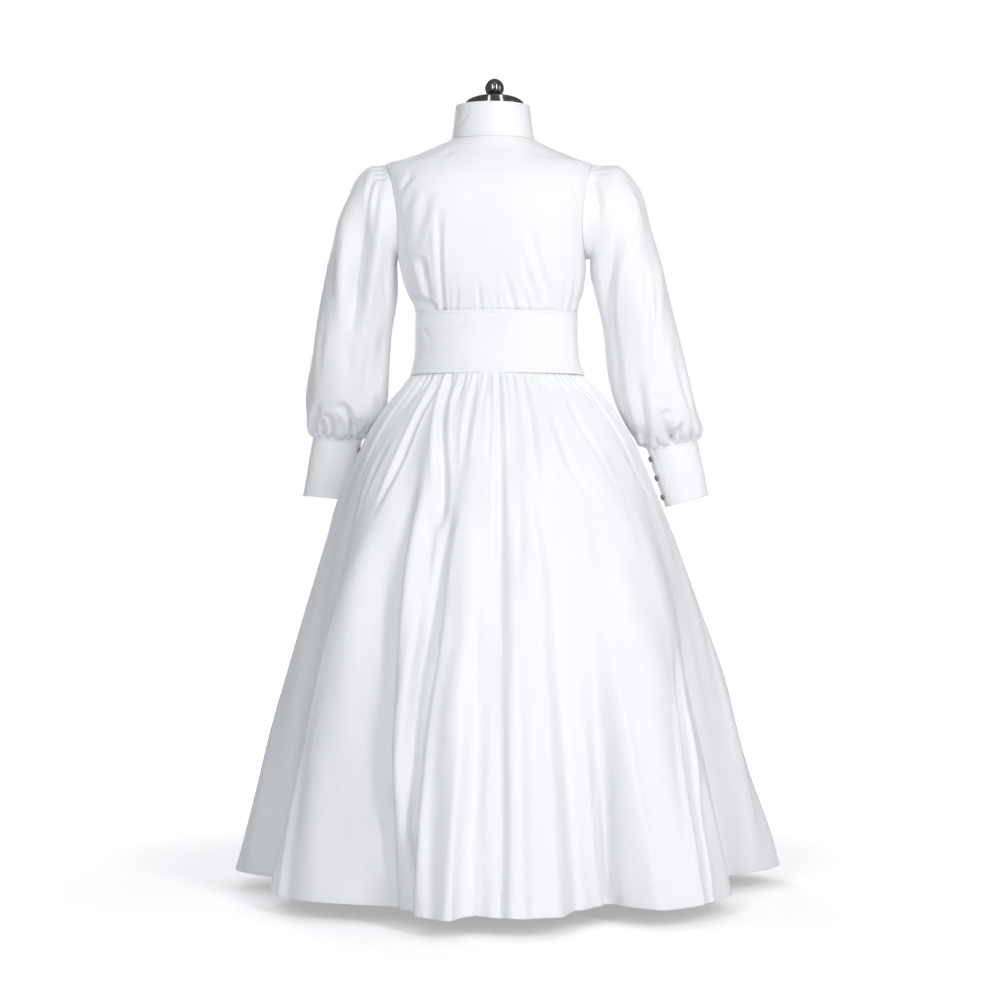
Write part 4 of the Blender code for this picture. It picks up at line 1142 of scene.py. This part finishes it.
# The skirt
# A floor-length skirt of a back and a front, seamed at the sides, cut with a flare and gathered into
# the waistband. The gathers run on into long folds, and the hem is turned up and stitched.
HEM_HEIGHT = 30 * MM
SKIRT_TOP = WAISTBAND_BOTTOM - 0.3 * MM
FULL_DROP = SKIRT_TOP - HEM_HEIGHT
SKIRT_TUCK = 3.5 * MM
SKIRT_TUCK_IN = 1.8 * MM
GATHERED_DROP = 120 * MM
GATHERED_ROW = 3.2 * MM
SKIRT_ROW = 8 * MM
FOLDS_START = 0.05
SKIRT_MIDDLE = 0.4
CHART_RADIUS = 250 * MM
HEM_LINE = 28 * MM
HEM_EDGE = 0.3 * MM
SIDE_GAP_DEGREES = 0.01
SIDE_CALM_DEGREES = 3
SKIRT_GATHER_SHARE = 1.3
SKIRT_GATHER_RADIUS = 165 * MM
SKIRT_WAVES = Waves(60, 380, 9)
SKIRT_WAVES_FULL = 160 * MM
SKIRT_RELIEF = (-40 * MM, 10 * MM)
RELIEF_FROM, RELIEF_OVER = -4 * MM, 10 * MM
TUCK_FROM, TUCK_OVER = -2.2 * MM, 4 * MM

# The skirt's half widths to the left and right, and its reach back and front, at a drop below the band
SkirtSection = namedtuple("SkirtSection", "drop left right back front")
SKIRT_SECTIONS = table_of(
    SkirtSection,
    (0, 149.5, 155.5, 111, 109),
    (20, 165, 176, 127, 126),
    (50, 190, 201, 152, 150),
    (110, 228, 238, 194, 190),
    (300, 296, 309, 280, 272),
    (600, 384, 402, 383, 372),
    (867, 456, 478, 456, 448),
)
# A ridge or a valley that runs down the skirt: its angle from the centre back, towards the wearer's
# right, under the waistband, halfway and at the hem, and how far it stands out there
FoldLine = namedtuple("FoldLine", "top middle hem middle_out hem_out")
FOLD_LINES = table_of(
    FoldLine,
    (-94, -94, -96, 4, 10),
    (-62, -66, -75, -16, -84),
    (-45, -46, -52, 12, -14),
    (-33, -32, -22.5, -16, -60),
    (-26, -27, -17.5, 8, -14),
    (-21, -20.5, -12.8, -12, 24),
    (-12, -9, -8.5, 8, 44),
    (-4, -4, -4, 0, -8),
    (2, 2, 0.5, -5, 10),
    (6, 5, 4, 5, 22),
    (13, 12, 11.5, 8, 16),
    (18, 17, 18, -4, -40),
    (27, 26, 27, -3, -74),
    (32, 31.5, 33, 3, 16),
    (44, 43, 39, 12, 18),
    (52, 53, 50, 4, -2),
    (66, 70, 77, -14, -88),
    (84, 90, 101, 12, 36),
    (110, 112, 122, -8, -34),
    (124, 126, 137, 8, 20),
    (138, 140, 149, -9, -28),
    (150, 152, 161, 8, 16),
    (163, 164, 172, -6, -14),
    (177, 178, 184, 7, 18),
    (190, 190, 195, -8, -22),
    (203, 203, 207, 8, 14),
    (216, 217, 219, -10, -40),
    (233, 232, 232, 9, 18),
    (250, 248, 248, -8, -44),
)
# Here a crease's places across are degrees round from the centre back, and its heights are drops.
SKIRT_BACK_CREASES = table_of(
    Crease,
    (-47, 262, -40, 129, -38, 8, 7, 7.5, 0.4, 0),
    (-60, 340, -57, 235, -48, 80, 7, 5, 0.5, 0.4),
    (-29, 580, -30, 390, -33, 200, 9, 10, 0.5, 0.4),
    (-21, 275, -20, 190, -30, 6, 8, 9, 0.4, 0),
    (-18, 470, -16.5, 330, -15, 190, 8, 10, 0.5, 0.4),
    (-13, 190, -12, 108, -12, 6, 7, 4, 0.6, 0),
    (-5, 172, -2, 103, -3, 6, 6, 2.4, 0.6, 0),
    (1, 450, 1.5, 200, 1.5, 6, 6, 6.5, 0.4, 0),
    (6, 365, 8, 277, 8, 150, 6, 2.2, 0.5, 0.4),
    (15, 300, 15, 140, 16, 6, 7.5, 4.5, 0.6, 0),
    (39, 240, 29, 153, 27, 30, 8, 3, 0.6, 0.3),
    (49, 230, 41, 102, 39, 26, 8, 3, 0.6, 0.3),
    (84, 240, 68, 181, 61, 95, 9, 3.6, 0.5, 0.4),
    (70, 190, 64, 110, 60, 14, 7, 3, 0.6, 0),
    (-24, 800, -27, 588, -31, 390, 14, 8, 0.2, 0.4),
    (-18, 864, -19.5, 560, -16.5, 290, 10, 30, 0, 0.4),
    (0.8, 864, 1, 698, 1, 440, 6, 7, 0, 0.4),
    (-6, 864, -5, 690, -3, 500, 8, 8, 0, 0.5),
    (5, 864, 5.5, 640, 6, 430, 6, 7, 0, 0.5),
    (27, 864, 26.5, 690, 27.5, 430, 9, 22, 0, 0.6),
    (44, 864, 48, 680, 58, 430, 7, 26, 0, 0.5),
    (-57, 864, -60, 560, -52, 270, 12, 26, 0, 0.5),
    (-66, 200, -61, 110, -59, 10, 7, 5, 0.6, 0),
    (-83, 220, -77, 120, -75, 10, 7, 5, 0.6, 0),
    (79, 864, 73, 590, 71, 330, 14, 8, 0, 0.5),
    (84, 190, 79, 100, 77, 10, 7, 4.5, 0.6, 0),
)
SKIRT_FRONT_CREASES = table_of(
    Crease,
    (103, 250, 98, 130, 96, 10, 7.5, 5.5, 0.6, 0),
    (112, 420, 111, 200, 110, 8, 8, 6.5, 0.5, 0),
    (127, 200, 121, 100, 119, 10, 7, 4, 0.6, 0),
    (140, 460, 139, 210, 137, 8, 8, 6.5, 0.5, 0),
    (150, 210, 149, 110, 147, 10, 6, 3.4, 0.6, 0),
    (164, 440, 163, 190, 163, 8, 7, 5, 0.5, 0),
    (172, 230, 173, 120, 174, 10, 6, 3.2, 0.6, 0),
    (190, 450, 190, 200, 189, 8, 7, 6, 0.5, 0),
    (199, 200, 200, 110, 201, 10, 6, 3.4, 0.6, 0),
    (217, 430, 216, 200, 215, 8, 8, 6.5, 0.5, 0),
    (229, 220, 228, 120, 226, 10, 7, 4, 0.6, 0),
    (248, 440, 249, 210, 250, 8, 8, 6, 0.5, 0),
    (260, 240, 259, 130, 258, 10, 7, 4.4, 0.6, 0),
    (122, 864, 116, 640, 112, 400, 12, 8, 0, 0.4),
    (149, 864, 144, 640, 140, 420, 10, 7, 0, 0.4),
    (172, 864, 167, 640, 164, 400, 9, 6, 0, 0.4),
    (195, 864, 192, 650, 190, 420, 10, 7, 0, 0.4),
    (219, 864, 218, 640, 217, 400, 12, 8, 0, 0.4),
    (248, 864, 248, 640, 248, 420, 12, 8, 0, 0.4),
)
SKIRT_BACK_GATHERS = table_of(
    Gather,
    (-88, 4.2, 60), (-79, 5.4, 90), (-72, 3.8, 48), (-65, 5.6, 80),
    (-59, 4.4, 56), (-51.5, 5.6, 84), (-46.5, 4, 46), (-41, 4.6, 60),
    (-35.5, 5, 76), (-26, 4.8, 66), (-20, 5.2, 84), (-16, 3.2, 40),
    (-9, 3.6, 48), (-5.5, 4.4, 66), (5.5, 3.6, 50), (10.5, 4.4, 70),
    (20.5, 4, 44), (24.5, 4.2, 56), (29.5, 3.8, 62), (35, 3.6, 42),
    (41.5, 4.2, 64), (46, 3.4, 38), (51, 4, 56), (56, 4.2, 66),
    (61, 3.4, 40), (66, 4.4, 66), (73, 3.8, 48), (80, 4.6, 70),
    (87, 4.2, 60),
)
SKIRT_FRONT_GATHERS = table_of(
    Gather,
    (93, 4.4, 62), (102, 5.2, 84), (107, 4, 50), (115, 5.2, 80),
    (124, 4.8, 68), (130, 5.4, 88), (134, 3.8, 46), (143, 5.2, 78),
    (153, 4.8, 70), (158, 4, 52), (168, 4.6, 66), (179, 4.6, 72),
    (184, 3.8, 46), (195, 4.8, 74), (205, 5, 80), (209, 3.8, 48),
    (221, 5.2, 82), (232, 4.6, 62), (237, 5.4, 86), (243, 4, 52),
    (255, 5, 78), (264, 4.6, 64), (268, 3.8, 50),
)


def fold_out(angles, share):
    """How far the skirt's folds stand out at a share of its drop, for angles in degrees."""
    lines = []
    for line in FOLD_LINES:
        at = smooth_through((0, SKIRT_MIDDLE, 1), (line.top, line.middle, line.hem), share)[0]
        steps_out = (0, 0, line.middle_out, line.hem_out)
        out = smooth_through((0, FOLDS_START, SKIRT_MIDDLE, 1), steps_out, share)[0]
        lines.append((at, out))
    lines = [(at - 360, out) for at, out in lines] + lines + [(at + 360, out) for at, out in lines]
    places, outs = np.array(lines).T
    before = np.clip(np.searchsorted(places, angles) - 1, 0, len(places) - 2)
    along = np.clip((angles - places[before]) / (places[before + 1] - places[before]), 0, 1)
    ease = (1 - np.cos(math.pi * along)) / 2
    return (outs[before] + (outs[before + 1] - outs[before]) * ease) * MM


def skirt_row(drop, angles):
    """A level row of the skirt with its main folds, at a drop below the waistband, for angles in
    degrees."""
    here = max(drop, 0)
    drops = [row.drop for row in SKIRT_SECTIONS]
    reaches = smooth_through(drops, np.array(SKIRT_SECTIONS)[:, 1:], here / MM)[0] * MM
    left, right, back, front = reaches
    turn = np.radians(angles)
    across = np.where(np.sin(turn) > 0, right, left) * np.sin(turn)
    deep = np.where(np.cos(turn) > 0, back, front) * -np.cos(turn)
    points = np.stack([across, deep, np.zeros(len(turn))], axis=1)
    away = points / np.linalg.norm(points, axis=1)[:, None]
    points += away * fold_out(angles, here / FULL_DROP)[:, None]
    points[:, 2] = SKIRT_TOP - drop
    return points


def on_chart(crease):
    """A skirt's crease on a flat chart, where its degrees are lengths and its drops are heights."""
    across = [math.radians(degrees) * CHART_RADIUS / MM for degrees in crease[0:6:2]]
    down = [-drop for drop in crease[1:6:2]]
    return Crease(across[0], down[0], across[1], down[1], across[2], down[2], *crease[6:])


gathered_drops = np.linspace(0, GATHERED_DROP, round(GATHERED_DROP / GATHERED_ROW))
hanging_drops = np.linspace(GATHERED_DROP, FULL_DROP, round((FULL_DROP - GATHERED_DROP) / SKIRT_ROW) + 1)
skirt_drops = np.concatenate([[-SKIRT_TUCK], gathered_drops, hanging_drops[1:]])
skirt_halves = (
    ("skirt_back", -90, 320, SKIRT_BACK_CREASES, SKIRT_BACK_GATHERS, 51.1),
    ("skirt_front", 90, 280, SKIRT_FRONT_CREASES, SKIRT_FRONT_GATHERS, 61.9),
)
for name, start, columns, creases, gathers, seed in skirt_halves:
    angles = np.linspace(start + SIDE_GAP_DEGREES, start + 180 - SIDE_GAP_DEGREES, columns)
    grid = np.stack([skirt_row(drop, angles) for drop in skirt_drops])
    around, below = np.meshgrid(angles, skirt_drops)
    chart = np.stack([np.radians(around) * CHART_RADIUS, 0 * around, -below], axis=2)
    relief = crease_relief(chart, [on_chart(crease) for crease in creases])
    relief += SKIRT_GATHER_SHARE * gather_relief(around, below.clip(0), gathers, SKIRT_GATHER_RADIUS)
    relief += ripple(grid, SKIRT_WAVES, seed) * eased(below / SKIRT_WAVES_FULL)
    relief = np.clip(relief, *SKIRT_RELIEF) * eased((below - RELIEF_FROM) / RELIEF_OVER)
    relief *= eased(np.minimum(around - start, start + 180 - around) / SIDE_CALM_DEGREES)
    relief -= SKIRT_TUCK_IN * (1 - eased((below - TUCK_FROM) / TUCK_OVER))
    grid += outward(grid) * relief[..., None]
    grids[name] = grid
    skirt = sew_piece(name, grid, CLOTH, edge=HEM_EDGE)

# The cuffs
# Deep straight cuffs of two stiffened layers. Each is topstitched under its top edge and laps on the
# inner side, towards the back, under three buttons.
CUFF_WALL = 1.8 * MM
CUFF_LAP = 20 * MM
CUFF_COLUMNS = 150
CUFF_ROWS = 40
CUFF_OPENING = math.radians(197)
CUFF_HEIGHT = 105 * MM
CUFF_STITCH_LINE = CUFF_HEIGHT - 7 * MM
CUFF_WAVES = Waves(34, 60, 1.32)
CUFF_RELIEF = (-1.2 * MM, 0.8 * MM)


def cuff_surface(rings, side):
    """A cuff's outer face by height above its bottom edge, as a share of its own height."""

    def surface(share, turns):
        mixed = [low + (high - low) * share for high, low in zip(*rings)]
        return sleeve_ring(SleeveRing(*mixed), np.asarray(turns) * side, side)

    return surface


cuff_heights = with_stitch_rows(np.linspace(CUFF_HEIGHT, 0, CUFF_ROWS), [CUFF_STITCH_LINE])
for name, side, rings, cuff_rings, back_creases, front_creases, seed in sleeves:
    surface = cuff_surface(cuff_rings, side)
    reach = (cuff_rings[0].half_depth + cuff_rings[1].half_depth) / 2 * MM
    cuff_turns, cuff_lift = lapped(side * CUFF_OPENING, 2 * math.pi, CUFF_LAP, reach, CUFF_COLUMNS)
    grid = band_grid(surface, cuff_heights / CUFF_HEIGHT, cuff_turns, cuff_lift)
    grid = finish_band(grid, cuff_heights, [CUFF_STITCH_LINE], (), CUFF_WAVES, seed + 4, CUFF_RELIEF)
    grids[f"cuff_{name}"] = grid
    cuff = sew_piece(f"cuff_{name}", grid, CUFF_WALL, edge=BAND_EDGE)

# The buttons
# Small domed shank buttons of dark bronze. Three close each cuff, and a row runs down the front from
# the collar over the placket to the waistband.
BUTTON_RADIUS = 5.5 * MM
BUTTON_HEIGHT = 3 * MM
BUTTON_GAP = 0.4 * MM
BUTTON_RIM = 0.7 * MM
PLACKET_FACE = 1.8 * MM
BUTTON_TAPER = 0.86
COLLAR_BUTTONS = (1323 * MM, 1354 * MM)
PLACKET_BUTTONS = [(1040 + 55 * i) * MM for i in range(5)]
WAISTBAND_BUTTONS = (927 * MM, 956 * MM, 985 * MM)
CUFF_BUTTON_SHARES = (0.17, 0.5, 0.83)

bronze = start_finish("dark_bronze", (0.3, 0.24, 0.18), 0.32, 1.0)
tarnish = grain(bronze, object_places(bronze), 260, 4)
vary_colour(bronze, tarnish, (0.2, 0.16, 0.12), (0.5, 0.42, 0.34))
vary_roughness(bronze, tarnish, 0.24, 0.46)

button_model = cut_ball(BUTTON_RADIUS, 24, 16, 0)
bpy.ops.transform.resize(value=(1, 1, (BUTTON_HEIGHT - BUTTON_RIM) / BUTTON_RADIUS))
bpy.ops.transform.translate(value=(0, 0, BUTTON_RIM))
edit_faces(button_model, is_cut_face)
extrude_up(-BUTTON_RIM)
bpy.ops.transform.resize(value=(BUTTON_TAPER, BUTTON_TAPER, 1))
close_editing()
bpy.ops.object.shade_smooth_by_angle(angle=math.radians(50))

button_rows = [
    ("collar_button", collar_surface, COLLAR_BUTTONS, 2, LAP_LIFT),
    ("placket_button", bodice_surface, PLACKET_BUTTONS, 2, PLACKET_FACE),
    ("waistband_button", waist_ring, WAISTBAND_BUTTONS, 2, LAP_LIFT + WAISTBAND_LIFT),
]
for name, side, rings, cuff_rings, *_ in sleeves:
    surface = cuff_surface(cuff_rings, side)
    row = (f"cuff_button_{name}", surface, CUFF_BUTTON_SHARES, side * CUFF_OPENING, LAP_LIFT)
    button_rows.append(row)
for row, surface, heights, turn, lift in button_rows:
    for index, height in enumerate(heights):
        seat, above = (
            Vector(raised(surface, height, [turn], lift + step * BUTTON_GAP)[0]) for step in (1, 2)
        )
        facing = (above - seat).to_track_quat("Z", "Y").to_matrix().to_4x4()
        button = bpy.data.objects.new(f"{row}_{index + 1}_turned", button_model.data.copy())
        button.data.transform(Matrix.Translation(seat) @ facing)
        bpy.context.scene.collection.objects.link(button)
        finish_piece(button, f"{row}_{index + 1}", bronze)
bpy.data.objects.remove(button_model)

# The stitching
# White polyester thread, about ten stitches to three centimetres: beside the edges of the collar, the
# waistband, the cuffs and the placket, and along the turned-up hem.
STITCH_PITCH = 3.2 * MM
STITCH_LENGTH = 2.4 * MM
THREAD_WIDTH = 0.42 * MM
THREAD_RISE = 0.2 * MM
PLACKET_STITCHES = (2, -3)

thread = start_finish("white_thread", (0.86, 0.865, 0.88), 0.45)
add_relief(thread, grain(thread, object_places(thread), 2500, 1), 0.4, 0.1 * MM)
# Along a stitch, as shares of its length: the place, the share of its width, and its rise
THREAD_STATIONS = ((-0.5, 0.45, -0.6), (0.0, 1.0, 1.0), (0.5, 0.45, -0.6))
STITCH_CROWN = 1.6


def point_on(run, values, at):
    return np.array([np.interp(at, run, values[:, k]) for k in range(3)])


def stitched(name, paths):
    """Rows of stitches as one mesh. Each path is points on the cloth and the cloth's normals there."""
    points, faces = [], []
    for path, normals in paths:
        run = np.concatenate([[0], np.cumsum(np.linalg.norm(np.diff(path, axis=0), axis=1))])
        middles = np.arange(STITCH_PITCH, run[-1] - STITCH_PITCH, STITCH_PITCH)
        for middle in middles:
            first = len(points)
            for along, width, rise in THREAD_STATIONS:
                at = middle + along * STITCH_LENGTH
                here, up = point_on(run, path, at), point_on(run, normals, at)
                ahead = point_on(run, path, at + STITCH_PITCH / 2)
                aside = np.cross(ahead - here, up)
                aside *= THREAD_WIDTH * width / 2 / np.linalg.norm(aside)
                lift = up * THREAD_RISE * rise
                thick = up * THREAD_WIDTH / 2 * width
                points += [here + lift + aside, here + lift * STITCH_CROWN + thick]
                points += [here + lift - aside, here + lift - thick]
            for station in (0, 4):
                for k in range(4):
                    after = (k + 1) % 4
                    corner = [station + k, station + after, station + 4 + after, station + 4 + k]
                    faces.append([first + index for index in corner])
            faces.append([first + index for index in (3, 2, 1, 0)])
            faces.append([first + index for index in (8, 9, 10, 11)])
    mesh = bpy.data.meshes.new(name)
    mesh.from_pydata([tuple(point) for point in points], [], faces)
    shape = bmesh.new()
    shape.from_mesh(mesh)
    bmesh.ops.recalc_face_normals(shape, faces=shape.faces)
    shape.to_mesh(mesh)
    shape.free()
    mesh.shade_smooth()
    rows = bpy.data.objects.new(name, mesh)
    bpy.context.scene.collection.objects.link(rows)
    finish_piece(rows, None, thread)


def row_near(grid, heights, line):
    """The row of a band's grid at a stitch line, with its normals."""
    row = int(np.argmin(np.abs(heights - line)))
    return grid[row], outward(grid)[row]


stitched("collar_stitching", [row_near(grids["collar"], collar_heights, line) for line in collar_lines])
stitched("waistband_stitching", [row_near(grids["waistband"], band_heights, line) for line in band_lines])
for name in ("cuff_left", "cuff_right"):
    stitched(f"{name}_stitching", [row_near(grids[name], cuff_heights, CUFF_STITCH_LINE)])
placket_normals = outward(placket_grid)
stitched("placket_stitching", [(placket_grid[:, at], placket_normals[:, at]) for at in PLACKET_STITCHES])
hem_halves = (grids["skirt_back"], grids["skirt_front"])
stitched("hem_stitching", [row_near(half, skirt_drops, FULL_DROP - HEM_LINE) for half in hem_halves])
